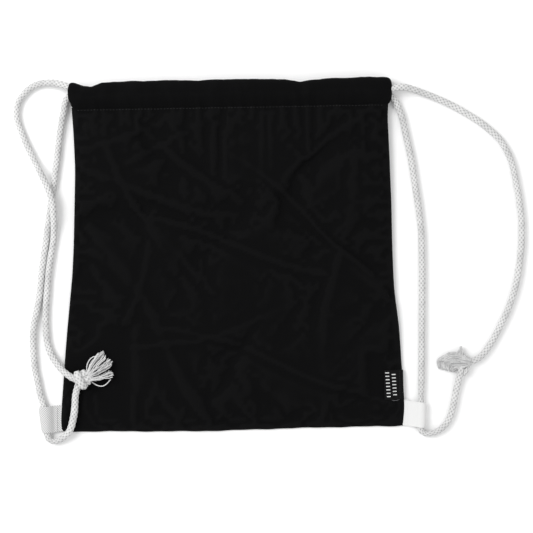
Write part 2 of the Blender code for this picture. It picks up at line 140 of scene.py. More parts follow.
def soften(path, sigma):
    """Gaussian smoothing along a path, in samples, with its ends kept."""
    kernel, reach = gaussian_kernel(sigma)
    before = 2 * path[0] - path[reach:0:-1]
    after = 2 * path[-1] - path[-2 : -reach - 2 : -1]
    padded = np.vstack([before, path, after])
    columns = [np.convolve(padded[:, k], kernel, "valid") for k in range(path.shape[1])]
    return np.stack(columns, 1)


def frames(path):
    """Directions beside and above a path, turned as little as possible."""
    tangent = unit(np.gradient(path, axis=0))
    side = np.cross(tangent[0], UP)
    sides = np.empty_like(path)
    for i, t in enumerate(tangent):
        side = side - t * (side @ t)
        side = side / np.linalg.norm(side)
        sides[i] = side
    return sides, np.cross(tangent, sides)


# ---------------------------------------------------------------- materials
class Shader:
    """Writes a shader graph tersely."""

    def __init__(self, name):
        self.mat = bpy.data.materials.new(name)
        self.mat.use_nodes = True
        self.tree = self.mat.node_tree

    def node(self, kind, **props):
        made = self.tree.nodes.new(kind)
        for key, value in props.items():
            setattr(made, key, value)
        return made

    def put(self, socket, value):
        """Links a socket, or sets a number or a colour."""
        if isinstance(value, bpy.types.NodeSocket):
            self.tree.links.new(value, socket)
        elif isinstance(value, tuple) and socket.type == "RGBA":
            socket.default_value = (*value, 1.0)
        else:
            socket.default_value = value

    def math(self, op, a, b=0.0, c=0.0, clamp=False):
        n = self.node("ShaderNodeMath", operation=op, use_clamp=clamp)
        for socket, value in zip(n.inputs, (a, b, c)):
            self.put(socket, value)
        return n.outputs[0]

    def add(self, a, b, clamp=False):
        return self.math("ADD", a, b, clamp=clamp)

    def times(self, a, b, clamp=False):
        return self.math("MULTIPLY", a, b, clamp=clamp)

    def times_add(self, a, factor, extra, clamp=False):
        return self.math("MULTIPLY_ADD", a, factor, extra, clamp=clamp)

    def invert(self, value):
        return self.math("SUBTRACT", 1.0, value)

    def wave(self, angle):
        """A sine that runs from 0 to 1."""
        return self.times_add(self.math("SINE", angle), 0.5, 0.5)

    def twist(self, around, along, rate):
        """Two plies that wind round a yarn, by `rate` radians for a millimetre."""
        return self.wave(self.add(self.times(around, TWO_PI * 2), self.times(along, rate)))

    def mix(self, factor, low, high):
        n = self.node("ShaderNodeMix", data_type="RGBA")
        self.put(n.inputs[0], factor)
        self.put(n.inputs[6], low)
        self.put(n.inputs[7], high)
        return n.outputs[2]

    def attribute(self, name):
        n = self.node("ShaderNodeAttribute", attribute_type="GEOMETRY", attribute_name=name)
        return n.outputs["Fac"]

    def uv(self):
        return self.node("ShaderNodeUVMap", uv_map="UVMap").outputs[0]

    def split(self, vector):
        n = self.node("ShaderNodeSeparateXYZ")
        self.put(n.inputs[0], vector)
        return n.outputs[0], n.outputs[1]

    def stretch(self, vector, scale):
        n = self.node("ShaderNodeMapping")
        self.put(n.inputs["Vector"], vector)
        n.inputs["Scale"].default_value = scale
        return n.outputs[0]

    def noise(self, vector, scale, detail=3.0, rough=0.55):
        n = self.node("ShaderNodeTexNoise")
        self.put(n.inputs["Vector"], vector)
        n.inputs["Scale"].default_value = scale
        n.inputs["Detail"].default_value = detail
        n.inputs["Roughness"].default_value = rough
        return n.outputs["Fac"]

    def bump(self, height, distance, strength):
        """Relief; the distance is in metres."""
        n = self.node("ShaderNodeBump")
        self.put(n.inputs["Height"], height)
        n.inputs["Distance"].default_value = distance
        n.inputs["Strength"].default_value = strength
        return n.outputs[0]

    def finish(self, colour, rough, specular, normal=None, sheen=0.0, sheen_rough=0.5):
        sockets = self.tree.nodes["Principled BSDF"].inputs
        self.put(sockets["Base Color"], colour)
        self.put(sockets["Roughness"], rough)
        sockets["Specular IOR Level"].default_value = specular
        sockets["Sheen Weight"].default_value = sheen
        sockets["Sheen Roughness"].default_value = sheen_rough
        if normal is not None:
            self.put(sockets["Normal"], normal)
        return self.mat


def canvas_material():
    """Plain-woven black cotton canvas. The UV map holds millimetres along the cloth."""
    m = Shader("canvas_black")
    uv = m.uv()
    rate = TWO_PI / 1.25  # two threads take 1.25 mm
    wobble = m.times(m.noise(uv, scale=0.35, detail=2.0), 1.1)
    weft, warp = [m.math("SINE", m.add(m.times(axis, rate), wobble)) for axis in m.split(uv)]
    weave = m.times_add(m.times(weft, warp), 0.5, 0.5)
    # single threads differ a little in thickness, along both directions
    slub = m.add(
        m.noise(m.stretch(uv, (0.02, 1.3, 1.0)), scale=1.0, detail=1.0),
        m.noise(m.stretch(uv, (1.3, 0.02, 1.0)), scale=1.0, detail=1.0),
    )
    broad = m.noise(uv, scale=0.018)
    wear = m.attribute("wear")
    tone = m.add(m.times(weave, 0.30), m.times(slub, 0.25))
    tone = m.add(tone, m.times(broad, 0.5))
    colour = m.mix(
        m.times(tone, 0.8, clamp=True), low=(0.0009, 0.0009, 0.0010), high=(0.0038, 0.0038, 0.0041)
    )
    worn = m.times(wear, m.times(weave, 0.8), clamp=True)
    colour = m.mix(worn, low=colour, high=(0.016, 0.016, 0.0165))
    normal = m.bump(m.add(weave, m.times(slub, 0.6)), distance=0.00022, strength=0.7)
    rough = m.times_add(broad, 0.12, 0.80)
    return m.finish(colour, rough, specular=0.06, normal=normal, sheen=0.013, sheen_rough=0.35)


def rope_material():
    """Braided cotton: the braid is in the mesh, the yarns inside each strand are bump."""
    m = Shader("rope_white")
    uv = m.uv()
    around, along = m.split(uv)
    level = m.attribute("level")
    one_way = m.add(around, along)
    other_way = m.math("SUBTRACT", around, along)
    is_first = m.math("GREATER_THAN", m.attribute("upper"), 0.5)
    across = m.add(m.times(is_first, one_way), m.times(m.invert(is_first), other_way))
    yarn = m.wave(m.times(across, TWO_PI * 4))  # four yarns in a strand
    # the yarns show on the crowns and fade into the grooves; the lines between the yarns are painted
    # grey, as painted shade
    crown = m.times(m.math("SUBTRACT", level, 0.5), 3.5, clamp=True)
    fibre = m.noise(uv, scale=9.0, detail=4.0, rough=0.7)
    patch = m.noise(uv, scale=0.35, detail=2.0)
    # painted shade: the braid's gaps and pinholes, where level is low, are painted near black and
    # the crowns white
    shade = m.times_add(m.math("POWER", level, 0.55), 0.88, m.times(fibre, 0.14), clamp=True)
    colour = m.mix(shade, low=(0.07, 0.07, 0.075), high=(0.80, 0.80, 0.795))
    between = m.times(m.times(m.invert(yarn), crown), 0.18)
    colour = m.mix(between, low=colour, high=(0.45, 0.45, 0.45))
    # random noise patches where the rope turns greyer
    grey_patches = m.times_add(patch, 3.0, -1.15, clamp=True)
    colour = m.mix(m.times(grey_patches, 0.42), low=colour, high=(0.34, 0.34, 0.345))
    height = m.add(m.times(m.times(yarn, crown), 0.7), m.times(fibre, 0.5))
    normal = m.bump(height, distance=0.00016, strength=0.55)
    return m.finish(colour, rough=0.88, specular=0.2, normal=normal, sheen=0.12)


def yarn_material():
    m = Shader("frayed_yarn_white")
    uv = m.uv()
    twist = m.twist(*m.split(uv), rate=2.4)
    fibre = m.noise(uv, scale=3.0, detail=4.0, rough=0.7)
    # tone differs at random from yarn to yarn, and also holds painted shade: yarns lower in the pile
    # get a darker tone
    colour = m.mix(m.attribute("tone"), low=(0.36, 0.36, 0.365), high=(0.78, 0.78, 0.775))
    # painted shade: the groove between the two plies is painted grey
    between = m.times(m.invert(twist), 0.30)
    colour = m.mix(between, low=colour, high=(0.36, 0.36, 0.37))
    normal = m.bump(m.add(twist, m.times(fibre, 0.7)), distance=0.00015, strength=0.6)
    return m.finish(colour, rough=0.92, specular=0.2, normal=normal, sheen=0.15)


def webbing_material(name, low, high):
    m = Shader(name)
    uv = m.uv()
    fibre = m.noise(uv, scale=1.6, detail=4.0, rough=0.7)
    broad = m.noise(uv, scale=0.08, detail=2.0)
    # painted shade: the weave's hollows, where level is low, are painted dark and its raised threads
    # light
    shade = m.times_add(m.attribute("level"), 0.92, m.times(fibre, 0.12), clamp=True)
    colour = m.mix(shade, low, high)
    colour = m.mix(m.times(broad, 0.12), low=colour, high=(0.70, 0.70, 0.69))
    normal = m.bump(fibre, distance=0.00012, strength=0.6)
    return m.finish(colour, rough=0.85, specular=0.2, normal=normal, sheen=0.08)


def thread_material(name, low, high):
    m = Shader(name)
    uv = m.uv()
    twist = m.twist(*m.split(uv), rate=7.0)
    # painted shade: the grooves between the twisted plies are painted darker than their crowns
    shade = m.times_add(twist, 0.8, m.times(m.noise(uv, scale=2.0), 0.2), clamp=True)
    normal = m.bump(twist, distance=0.00008, strength=0.6)
    colour = m.mix(shade, low, high)
    return m.finish(colour, rough=0.55, specular=0.35, normal=normal, sheen=0.04)


def label_material():
    """Black woven satin ribbon with fine cross ribs."""
    m = Shader("label_black")
    uv = m.uv()
    x, y = m.split(uv)
    ribs = m.wave(m.times(y, TWO_PI / 0.8))
    fine = m.wave(m.times(x, TWO_PI / 0.55))
    tone = m.add(m.times(ribs, 0.5), m.times(m.noise(uv, scale=1.5), 0.4), clamp=True)
    colour = m.mix(tone, low=(0.0012, 0.0012, 0.0013), high=(0.0042, 0.0042, 0.0046))
    normal = m.bump(m.add(ribs, m.times(fine, 0.4)), distance=0.0001, strength=0.5)
    return m.finish(colour, rough=0.58, specular=0.09, normal=normal, sheen=0.008)


def dash_material():
    m = Shader("label_dashes")
    uv = m.uv()
    satin = m.wave(m.times(m.split(uv)[0], TWO_PI / 0.5))
    shade = m.times_add(satin, 0.6, m.times(m.noise(uv, scale=2.0), 0.4), clamp=True)
    colour = m.mix(shade, low=(0.42, 0.42, 0.42), high=(0.86, 0.86, 0.85))
    normal = m.bump(satin, distance=0.00008, strength=0.6)
    return m.finish(colour, rough=0.6, specular=0.3, normal=normal, sheen=0.05)


def floor_material():
    m = Shader("pale_floor")
    place = m.node("ShaderNodeTexCoord").outputs["Object"]
    shade = m.noise(place, scale=3.0, detail=2.0)
    colour = m.mix(shade, low=(0.93, 0.93, 0.93), high=(0.95, 0.95, 0.95))
    return m.finish(colour, rough=0.9, specular=0.1)


CANVAS = canvas_material()
ROPE = rope_material()
YARN = yarn_material()
LEFT_WEBBING = webbing_material(
    "tab_webbing_ribbed", low=(0.25, 0.25, 0.255), high=(0.82, 0.82, 0.815)
)
RIGHT_WEBBING = webbing_material(
    "tab_webbing_smooth", low=(0.44, 0.44, 0.445), high=(0.76, 0.76, 0.755)
)
BLACK_THREAD = thread_material(
    "thread_black", low=(0.0018, 0.0018, 0.002), high=(0.0065, 0.0065, 0.007)
)
GREY_THREAD = thread_material("thread_grey", low=(0.10, 0.10, 0.105), high=(0.26, 0.26, 0.27))
WHITE_THREAD = thread_material("thread_white", low=(0.50, 0.50, 0.50), high=(0.88, 0.88, 0.87))
LABEL = label_material()
DASH = dash_material()


# ---------------------------------------------------------------- meshes
def build(name, verts, faces, material, corner_uv, attrs=None, normals=None, sharp=None):
    """A smooth-shaded object; `sharp` is the angle in degrees above which edges are hard."""
    mesh = bpy.data.meshes.new(name)
    mesh.from_pydata(to_metres(verts).tolist(), [], [tuple(int(i) for i in f) for f in faces])
    mesh.shade_smooth()
    if sharp is not None:
        mesh.set_sharp_from_angle(angle=math.radians(sharp))
    layer = mesh.uv_layers.new(name="UVMap")
    layer.data.foreach_set("uv", np.asarray(corner_uv, np.float32).ravel())
    for key, values in (attrs or {}).items():
        made = mesh.attributes.new(key, "FLOAT", "POINT")
        made.data.foreach_set("value", np.asarray(values, np.float32))
    if normals is not None:
        mesh.normals_split_custom_set_from_vertices(np.asarray(normals, float).tolist())
    mesh.materials.append(material)
    obj = bpy.data.objects.new(name, mesh)
    bpy.context.scene.collection.objects.link(obj)
    return obj


def at_corners(faces, per_vertex):
    """Per-corner values from per-vertex ones."""
    index = np.concatenate([np.asarray(f, int) for f in faces])
    return np.asarray(per_vertex, float)[index]


def mesh_points(obj):
    co = np.zeros(len(obj.data.vertices) * 3, np.float32)
    obj.data.vertices.foreach_get("co", co)
    co = co.reshape(-1, 3).astype(float) * 1000
    co[:, 1] -= BOTTOM
    return co


def follow(obj, weights):
    """Bakes the object's placement into its mesh; the weights, the share of each point, are not
    used.
    """
    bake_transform(obj)


def joined(objs, name):
    """Several meshes as one object; the first one's slot and materials stay."""
    bpy.ops.object.select_all(action="DESELECT")
    for obj in objs:
        obj.select_set(True)
    bpy.context.view_layer.objects.active = objs[0]
    bpy.ops.object.join()
    objs[0].name = name
    objs[0].data.name = name
    return objs[0]


def tube_points(path, radius, side, up, around):
    """Rings of points round a path; the radius has a row for each ring."""
    angle = (TWO_PI * np.arange(around) / around)[:, None]
    return path[:, None] + radius[..., None] * (
        np.cos(angle) * side[:, None] + np.sin(angle) * up[:, None]
    )


def tube_faces(rings, around, base=0, flip=False):
    """Faces of a tube closed at both ends, its points numbered from base, ring by ring."""
    start = base + np.arange(rings - 1)[:, None] * around
    here = np.arange(around)
    after = (here + 1) % around
    corners = [start + here, start + after, start + around + after, start + around + here]
    quads = np.stack(corners, -1).reshape(-1, 4)
    first_cap = range(base + around - 1, base - 1, -1)
    last_cap = range(base + (rings - 1) * around, base + rings * around)
    if flip:
        quads = quads[:, [0, 3, 2, 1]]
        first_cap, last_cap = first_cap[::-1], last_cap[::-1]
    return quads.tolist() + [list(first_cap), list(last_cap)]


def grid_quads(index):
    corners = [index[:-1, :-1], index[:-1, 1:], index[1:, 1:], index[1:, :-1]]
    return np.stack(corners, -1).reshape(-1, 4)


def shell_faces(rows, columns, turned=False):
    """Faces of an outer grid, of an inner one numbered after it, and of the rim between
    them. `turned` winds them the other way."""
    count = rows * columns
    index = np.arange(count).reshape(rows, columns)
    quads = grid_quads(index)
    ring = np.concatenate(
        [index[0], index[1:, -1], index[-1, :-1][::-1], index[1:-1, 0][::-1]]
    )
    after = np.roll(ring, -1)
    rim = np.stack([after, ring, ring + count, after + count], -1)
    if turned:
        quads, rim = quads[:, [0, 3, 2, 1]], rim[:, [1, 0, 3, 2]]
    return np.vstack([quads, quads[:, ::-1] + count, rim])


def ribbon(name, surface, along, across, probe, material, sharp, attrs=None):
    """A closed strip. surface(1) and surface(-1) give the grids of its outer and inner
    faces; the row `probe` tells which way is out."""
    outer, inner = surface(1), surface(-1)
    faces = shell_faces(*outer.shape[:2], turned=True)
    corner = outer[probe, 10]
    facing = np.cross(outer[probe + 1, 10] - corner, outer[probe, 11] - corner)
    if facing @ (corner - inner[probe, 10]) < 0:
        faces = faces[:, ::-1]
    uv = np.tile(np.stack([along, across], -1).reshape(-1, 2), (2, 1))
    verts = np.vstack([outer.reshape(-1, 3), inner.reshape(-1, 3)])
    obj = build(name, verts, faces, material, at_corners(faces, uv), attrs, sharp=sharp)
    return obj, outer


def outward_normals(profile, probe, away):
    """Normals of a flat profile, on the side that faces `away` at the point `probe`."""
    tangent = unit(np.gradient(profile, axis=0))
    normal = np.stack([tangent[:, 1], -tangent[:, 0]], 1)
    return -normal if normal[probe] @ away < 0 else normal


# ---------------------------------------------------------------- rope
STRANDS = 5  # braid carriers each way round
PITCH = 5.2  # between crossings along the rope
ROPE_RADIUS = 3.85  # over the crowns of the braid
BRAID_DEPTH = 0.85
RING_STEP = PITCH / 12
ROPE_FLOOR = 0.06  # the lowest that rope on the floor comes


def braid(theta, s):
    """Height of the braided surface, 0 in the gaps to 1 on the crowns, and which
    family of strands is on top."""
    turn, length = STRANDS * theta / TWO_PI, s / PITCH
    a, b = turn + length, turn - length
    floor_a, floor_b = np.floor(a), np.floor(b)

    def crown(fraction):
        return 1 - np.abs(2 * fraction - 1) ** 2.6

    over_a = np.cos(math.pi * (floor_a + b - 0.5))
    over_b = -np.cos(math.pi * (floor_b + a - 0.5))
    height_a = 0.78 * crown(a - floor_a) + 0.34 * over_a
    height_b = 0.78 * crown(b - floor_b) + 0.34 * over_b
    height = np.clip(np.maximum(height_a, height_b) / 1.12, 0, 1)
    # a pinhole where four strands meet
    pin = np.exp(-((a - np.round(a)) ** 2 + (b - np.round(b)) ** 2) / 0.03)
    return np.clip(height - 0.5 * pin, 0, 1), (height_a >= height_b).astype(float)


class Cord:
    """A rope along control points. Pieces cut from it share rings, so the braid runs on.
    `sigma` smooths the path, in rings; `phase` shifts the braid along it."""

    def __init__(
        self, points, radius=ROPE_RADIUS, ring=RING_STEP, around=44, sigma=5.0, phase=0.0,
        plain=False, floor=ROPE_FLOOR,
    ):
        path, self.s = even(catmull(points), ring)
        self.path = soften(path, sigma)
        self.side, self.up = frames(self.path)
        self.radius, self.ring, self.around = radius, ring, around
        self.phase, self.plain, self.floor = phase, plain, floor
        self.scale = np.ones(len(self.path))

    def at(self, point):
        """The ring nearest to a point."""
        return int(np.argmin(np.linalg.norm(self.path - np.asarray(point, float), axis=1)))

    def narrow(self, places):
        """Pulls the rope thin or spreads it: (point, share of the width, length)."""
        for point, share, length in places:
            self.scale *= 1 + (share - 1) * bell(self.s - self.s[self.at(point)], length)
        zero = self.s * 0
        slow = value_noise(self.s, zero, 17.0, 140)
        quick = value_noise(self.s, zero + 9, 6.0, 141)
        self.scale *= 1 + 0.025 * slow + 0.02 * quick

    def relief(self, theta, s):
        """Height of the surface and its upper strand family, at angles and arc lengths."""
        level, upper = np.zeros(theta.shape), np.zeros(theta.shape)
        if self.plain:
            return level + 0.8, upper + 1
        # slight unevenness of the braid
        theta = theta + 0.16 * value_noise(s, theta * 0, 23.0, 150)
        s = s + 0.55 * value_noise(s, theta * 1.1, 7.0, 151)
        slack = 0.5 + 0.5 * value_noise(s, theta * 1.4, 4.2, 152)
        # averaged over the cell, so that strand borders stay smooth between rings
        theta_step, s_step = TWO_PI / self.around / 3, self.ring / 3
        for a in (-1.3, 0, 1.3):
            for b in (-1.3, 0, 1.3):
                height, family = braid(theta + a * theta_step, s + b * s_step)
                level, upper = level + height / 9, upper + family / 9
        return np.clip(level - 0.10 * slack * (1 - level), 0, 1), upper

    def piece(self, name, first=0, last=None):
        """The mesh from one ring to another, closed at both ends."""
        span = slice(first, None if last is None else last + 1)
        s = self.s[span] + self.phase
        step = np.arange(self.around)
        level, upper = self.relief(*np.meshgrid(TWO_PI * step / self.around, s))
        radius = (self.radius - BRAID_DEPTH * (1 - level)) * self.scale[span][:, None]
        verts = tube_points(
            self.path[span], radius, self.side[span], self.up[span], self.around
        )
        if self.floor is not None:
            verts[..., 2] = np.maximum(verts[..., 2], self.floor)
        # UV: strands round the rope, crossings along it
        length, quads = s / PITCH, len(s) - 1
        corners = [
            np.stack(
                np.broadcast_arrays(
                    (step + right) * STRANDS / self.around, length[later : quads + later, None]
                ),
                -1,
            )
            for right, later in ((0, 0), (1, 0), (1, 1), (0, 1))
        ]
        uv = np.vstack([np.stack(corners, 2).reshape(-1, 2), np.zeros((2 * self.around, 2))])
        # level is the braid's height; the rope material also paints its low parts dark, as painted
        # shade in the gaps and pinholes
        attrs = {"level": level.ravel(), "upper": upper.ravel()}
        faces = tube_faces(len(s), self.around)
        obj = build(name, verts.reshape(-1, 3), faces, ROPE, uv, attrs, sharp=80)
        obj["arc"] = 0  # a custom property that only rope objects carry
        return obj


# ---------------------------------------------------------------- outline of the pouch
# (height, x) of the side edges
LEFT_EDGE = [
    (-6, -189.6), (0, -189.6), (12, -190.2), (41, -187.6), (66, -185.4), (90, -183.3),
    (115, -180.8), (140, -178.0), (173, -174.3), (205, -172.2), (240, -170.8), (290, -168.9),
    (330, -170.0), (363, -171.9),
]
RIGHT_EDGE = [
    (-6, 188.0), (0, 188.4), (17, 190.6), (34, 190.2), (67, 188.0), (90, 187.0), (112, 185.8),
    (134, 183.2), (150, 181.4), (167, 180.6), (200, 179.9), (250, 179.6), (300, 178.4),
    (344, 177.0), (363, 178.6),
]
# (x, height) of the mouth
TOP_EDGE = [
    (-176, 384.5), (-171, 385.2), (-166, 384.4), (-160, 381.6), (-156, 380.2), (-153, 380.6),
    (-148.5, 379.2), (-144, 381.6), (-137, 383.9), (-125, 384.6), (-100, 385.1), (-60, 385.3),
    (-38, 385.0), (-30, 384.2), (-22, 385.2), (0, 385.4), (40, 385.2), (64, 384.6),
    (73, 383.0), (81, 381.3), (90, 382.6), (101, 383.6), (110, 384.7), (135, 384.8),
    (154, 385.4), (172, 385.1), (183, 384.6),
]


def smooth_table(table, width, low, high, step=0.5):
    """A table as a function, smoothed over a width."""
    x = np.arange(low, high + 0.01, step)
    y = np.interp(x, *np.array(table, float).T)
    kernel, reach = gaussian_kernel(width / step)
    y = np.convolve(np.pad(y, reach, mode="edge"), kernel, "valid")
    return lambda at: np.interp(at, x, y)


left_edge = smooth_table(LEFT_EDGE, width=6.0, low=-6, high=400)
right_edge = smooth_table(RIGHT_EDGE, width=5.0, low=-6, high=400)
top_edge = smooth_table(TOP_EDGE, width=1.6, low=-190, high=190)


def half_width(x, y):
    """From the middle to the side edge, on the side that x is on."""
    return np.where(x < 0, -left_edge(y), right_edge(y))


def bottom_edge(x):
    """The bottom bows down slightly left of the middle, and rises at its corners."""
    bow = -1.9 * bell(x + 35, 85)
    corner = 0.5 * smooth01((np.abs(x) - 178) / 12)
    ripple = 0.25 * np.sin(x / 11.0 + 0.7) + 0.18 * np.sin(x / 4.3 + 2.0)
    return bow + corner + ripple


def gather_weight(x, y):
    """A weight for each point of the pouch: none at the middle, all at
    the side seam, and only close to the seam near the bottom edge."""
    share = np.clip(np.abs(x) / half_width(x, y), 0, 1)
    power = 1 + 7 * (1 - smooth01(y / 150))
    return share**power


# ---------------------------------------------------------------- fabric relief
def make_gathers(seed, count=46):
    """Pleats across the panel: (x, width, height, reach down, lean)."""
    r = np.random.default_rng(seed)
    xs = np.linspace(-168, 174, count) + r.uniform(-3.0, 3.0, count)
    return [
        (
            x,
            r.uniform(2.2, 4.2),
            r.uniform(0.25, 1.15) * (1 if r.random() < 0.7 else -0.8),
            r.uniform(14, 70),
            r.uniform(-0.10, 0.10),
        )
        for x in xs
    ]


FRONT_GATHERS = make_gathers(seed=5)
REAR_GATHERS = make_gathers(seed=9)


def gathers(x, y, pleats):
    """Small pleats that start at the casing seam and run out down the cloth."""
    out = np.zeros(x.shape)
    down = np.maximum(PANEL_TOP - y, 0)
    for pleat_x, width, height, reach, lean in pleats:
        across = bell(x - pleat_x - lean * down, width * (1 + 0.012 * down))
        out += height * across * np.exp(-down / reach)
    return out


def creases(x, y, seed, count):
    """Long soft fold lines, each with a shallow hollow beside it."""
    r = np.random.default_rng(seed)
    out = np.zeros(x.shape)
    for _ in range(count):
        dx, dy = x - r.uniform(-150, 150), y - r.uniform(40, 330)
        a = r.uniform(0, math.pi)
        length, width, height = r.uniform(45, 120), r.uniform(3.5, 8), r.uniform(0.5, 1.5)
        along = dx * math.cos(a) + dy * math.sin(a)
        across = -dx * math.sin(a) + dy * math.cos(a) + 6 * np.sin(along / 40)
        hollow = 0.45 * bell(across - 1.6 * width, 1.6 * width)
        out += height * bell(along, length) * (bell(across, width) - hollow)
    return out


# ---------------------------------------------------------------- the two sheets
# distances from an edge of a sheet, before its points become evenly spaced
FINE_EDGE = [0.0, 0.35, 0.8, 1.4, 2.1, 3.0, 4.0, 5.2, 6.6, 8.2, 10.0]
EVEN_START = 12.2
SHEET_STEP = 2.2
HALF_SPAN = 180.0  # nominal half width of the pouch
STITCH_Y = 354.3  # the stitched seam below the casings
BASE_LOW = 3.6  # height of the front sheet at the bottom edge, over its folds
BASE_RISE = 9.9  # how much higher it is at the top


def spaced(total):
    """Distances from an edge, close together near it."""
    count = int((total - EVEN_START) / SHEET_STEP) + 1
    return np.concatenate([FINE_EDGE, np.linspace(EVEN_START, total, count)])


def front_base(y):
    return BASE_LOW + BASE_RISE * np.clip(y, 0, PANEL_TOP) / PANEL_TOP


def roll(distance, width):
    """A quarter round: 0 at an edge to 1 at `width` from it."""
    return np.sqrt(np.maximum(1 - (1 - np.clip(distance / width, 0, 1)) ** 2, 0))


def sheet(U, V, face):
    """Points of a sheet: U is -1..1 across, V is the height up the cloth."""
    half = half_width(U, V)
    X = U * half
    low = bottom_edge(X)
    Y = low + V * (PANEL_TOP - low) / PANEL_TOP
    from_side = (1 - np.abs(U)) * half
    base = front_base(V)
    middle = base / 2
    shape = roll(from_side, 5 + 9 * V / PANEL_TOP) * roll(V, 5.5)
    fade = smooth01(from_side / 14) * smooth01(V / 14)
    is_front = face > 0
    side_noise = value_noise(Y, X * 0.22, 5.5, 31 + is_front)
    pucker = 0.42 * np.exp(-from_side / 11) * side_noise * smooth01(from_side / 2.5)
    low_noise = value_noise(X, Y * 0.22, 5.5, 41 + is_front)
    pucker += 0.34 * np.exp(-V / 11) * low_noise * smooth01(V / 2.5)
    groove = bell(V - STITCH_Y, 1.5) * smooth01(from_side / 6)
    if is_front:
        relief = gathers(X, V, FRONT_GATHERS) + creases(X, V, seed=12, count=15) * 0.9
        relief += 1.15 * value_noise(X, V, 62, 3) + 0.42 * value_noise(X, V, 21, 4)
        depth = np.minimum(base - 2.7, 2.6)
        relief = np.where(relief < 0, -depth * np.tanh(-relief / depth), relief)
        Z = middle + (base - middle) * shape + relief * fade + pucker - 0.6 * groove
    else:
        relief = 0.75 * gathers(X, V, REAR_GATHERS) + 0.7 * creases(X, V, seed=77, count=12)
        relief += 0.5 * value_noise(X, V, 55, 8)
        relief = 1.5 * np.tanh(np.maximum(relief, 0) / 1.5)
        Z = middle * (1 - shape) + relief * fade + np.maximum(pucker, 0) + 0.35 * groove
    return np.stack([X, Y, Z], -1)


def add_cloth(obj, last_frame):
    """Cloth a little larger than its outline, so that it buckles into soft folds."""
    mod = obj.modifiers.new("Cloth", "CLOTH")
    s = mod.settings
    s.quality = 6
    s.mass = 0.22
    s.air_damping = 2.0
    s.tension_stiffness = s.compression_stiffness = 30
    s.shear_stiffness = 12
    s.bending_stiffness = 0.35
    s.tension_damping = s.compression_damping = 8
    s.shear_damping = 8
    s.bending_damping = 0.6
    s.vertex_group_mass = "pin"
    s.pin_stiffness = 1.0
    s.shrink_min = -0.035
    s.use_pressure = True
    s.uniform_pressure_force = 0.5
    s.effector_weights.gravity = 0.0
    mod.collision_settings.use_collision = False
    mod.collision_settings.use_self_collision = False
    mod.point_cache.frame_start, mod.point_cache.frame_end = 1, last_frame


def cloth_displacement(U, V):
    """Cloth simulation of the pouch as an empty pillow held at its seams and at the
    mouth. Returns how far the points of the two sheets moved."""
    front, rear = sheet(U, V, 1), sheet(U, V, -1)
    front_index = np.arange(U.size).reshape(U.shape)
    shared = np.zeros(U.shape, bool)
    shared[:, 0] = shared[:, -1] = shared[0, :] = True
    rear_index = np.where(shared, front_index, 0)
    rear_index[~shared] = U.size + np.arange((~shared).sum())
    start = to_metres(np.vstack([front.reshape(-1, 3), rear[~shared]]))
    faces = np.vstack([grid_quads(front_index), grid_quads(rear_index)[:, ::-1]])
    mesh = bpy.data.meshes.new("pillow")
    mesh.from_pydata(start.tolist(), [], faces.tolist())
    obj = bpy.data.objects.new("pillow", mesh)
    scene = bpy.context.scene
    scene.collection.objects.link(obj)

    def points(*parts):
        return {int(i) for part in parts for i in part}

    pin = obj.vertex_groups.new(name="pin")
    held = points(front_index[shared], front_index[-1], rear_index[-1])
    pin.add(sorted(held), 1.0, "REPLACE")
    near = points(front_index[1], front_index[-2], rear_index[-2]) - held
    pin.add(sorted(near), 0.25, "REPLACE")

    last_frame = 26
    add_cloth(obj, last_frame)
    for f in range(1, last_frame + 1):
        scene.frame_set(f)
    evaluated = obj.evaluated_get(bpy.context.evaluated_depsgraph_get())
    co = np.zeros(len(start) * 3, np.float32)
    evaluated.data.vertices.foreach_get("co", co)
    moved = co.reshape(-1, 3).astype(float) * 1000 - start * 1000
    scene.frame_set(1)
    bpy.data.objects.remove(obj, do_unlink=True)
    bpy.data.meshes.remove(mesh)

    # moves are limited softly, sideways and up
    front_limit, rear_limit = np.array([1.2, 1.2, 3.2]), np.array([1.2, 1.2, 2.2])
    return (
        front_limit * np.tanh(moved[front_index] / front_limit),
        rear_limit * np.tanh(moved[rear_index] / rear_limit),
    )


def cubic_sample(grid, row, col):
    """Smooth sampling of a regular grid at fractional rows and columns."""
    rows, cols = grid.shape[:2]

    def weights(t):
        return [
            0.5 * (-t + 2 * t**2 - t**3), 0.5 * (2 - 5 * t**2 + 3 * t**3),
            0.5 * (t + 4 * t**2 - 3 * t**3), 0.5 * (-(t**2) + t**3),
        ]

    i = np.clip(np.floor(row).astype(int), 0, rows - 2)
    j = np.clip(np.floor(col).astype(int), 0, cols - 2)
    row_weights, col_weights = weights(row - i), weights(col - j)
    out = 0
    for a in range(4):
        for b in range(4):
            g = grid[np.clip(i + a - 1, 0, rows - 1), np.clip(j + b - 1, 0, cols - 1)]
            out = out + g * (row_weights[a] * col_weights[b])[..., None]
    return out


across = 1 - spaced(HALF_SPAN) / HALF_SPAN  # 1 at the edge, 0 at the middle
SHEET_U = np.concatenate([-across, across[::-1][1:]])
SHEET_V = spaced(PANEL_TOP)
GRID_U, GRID_V = np.meshgrid(SHEET_U, SHEET_V)
MIDDLE = len(across) - 1  # the column at x = 0
FROM_SIDE = (1 - np.abs(GRID_U)) * HALF_SPAN


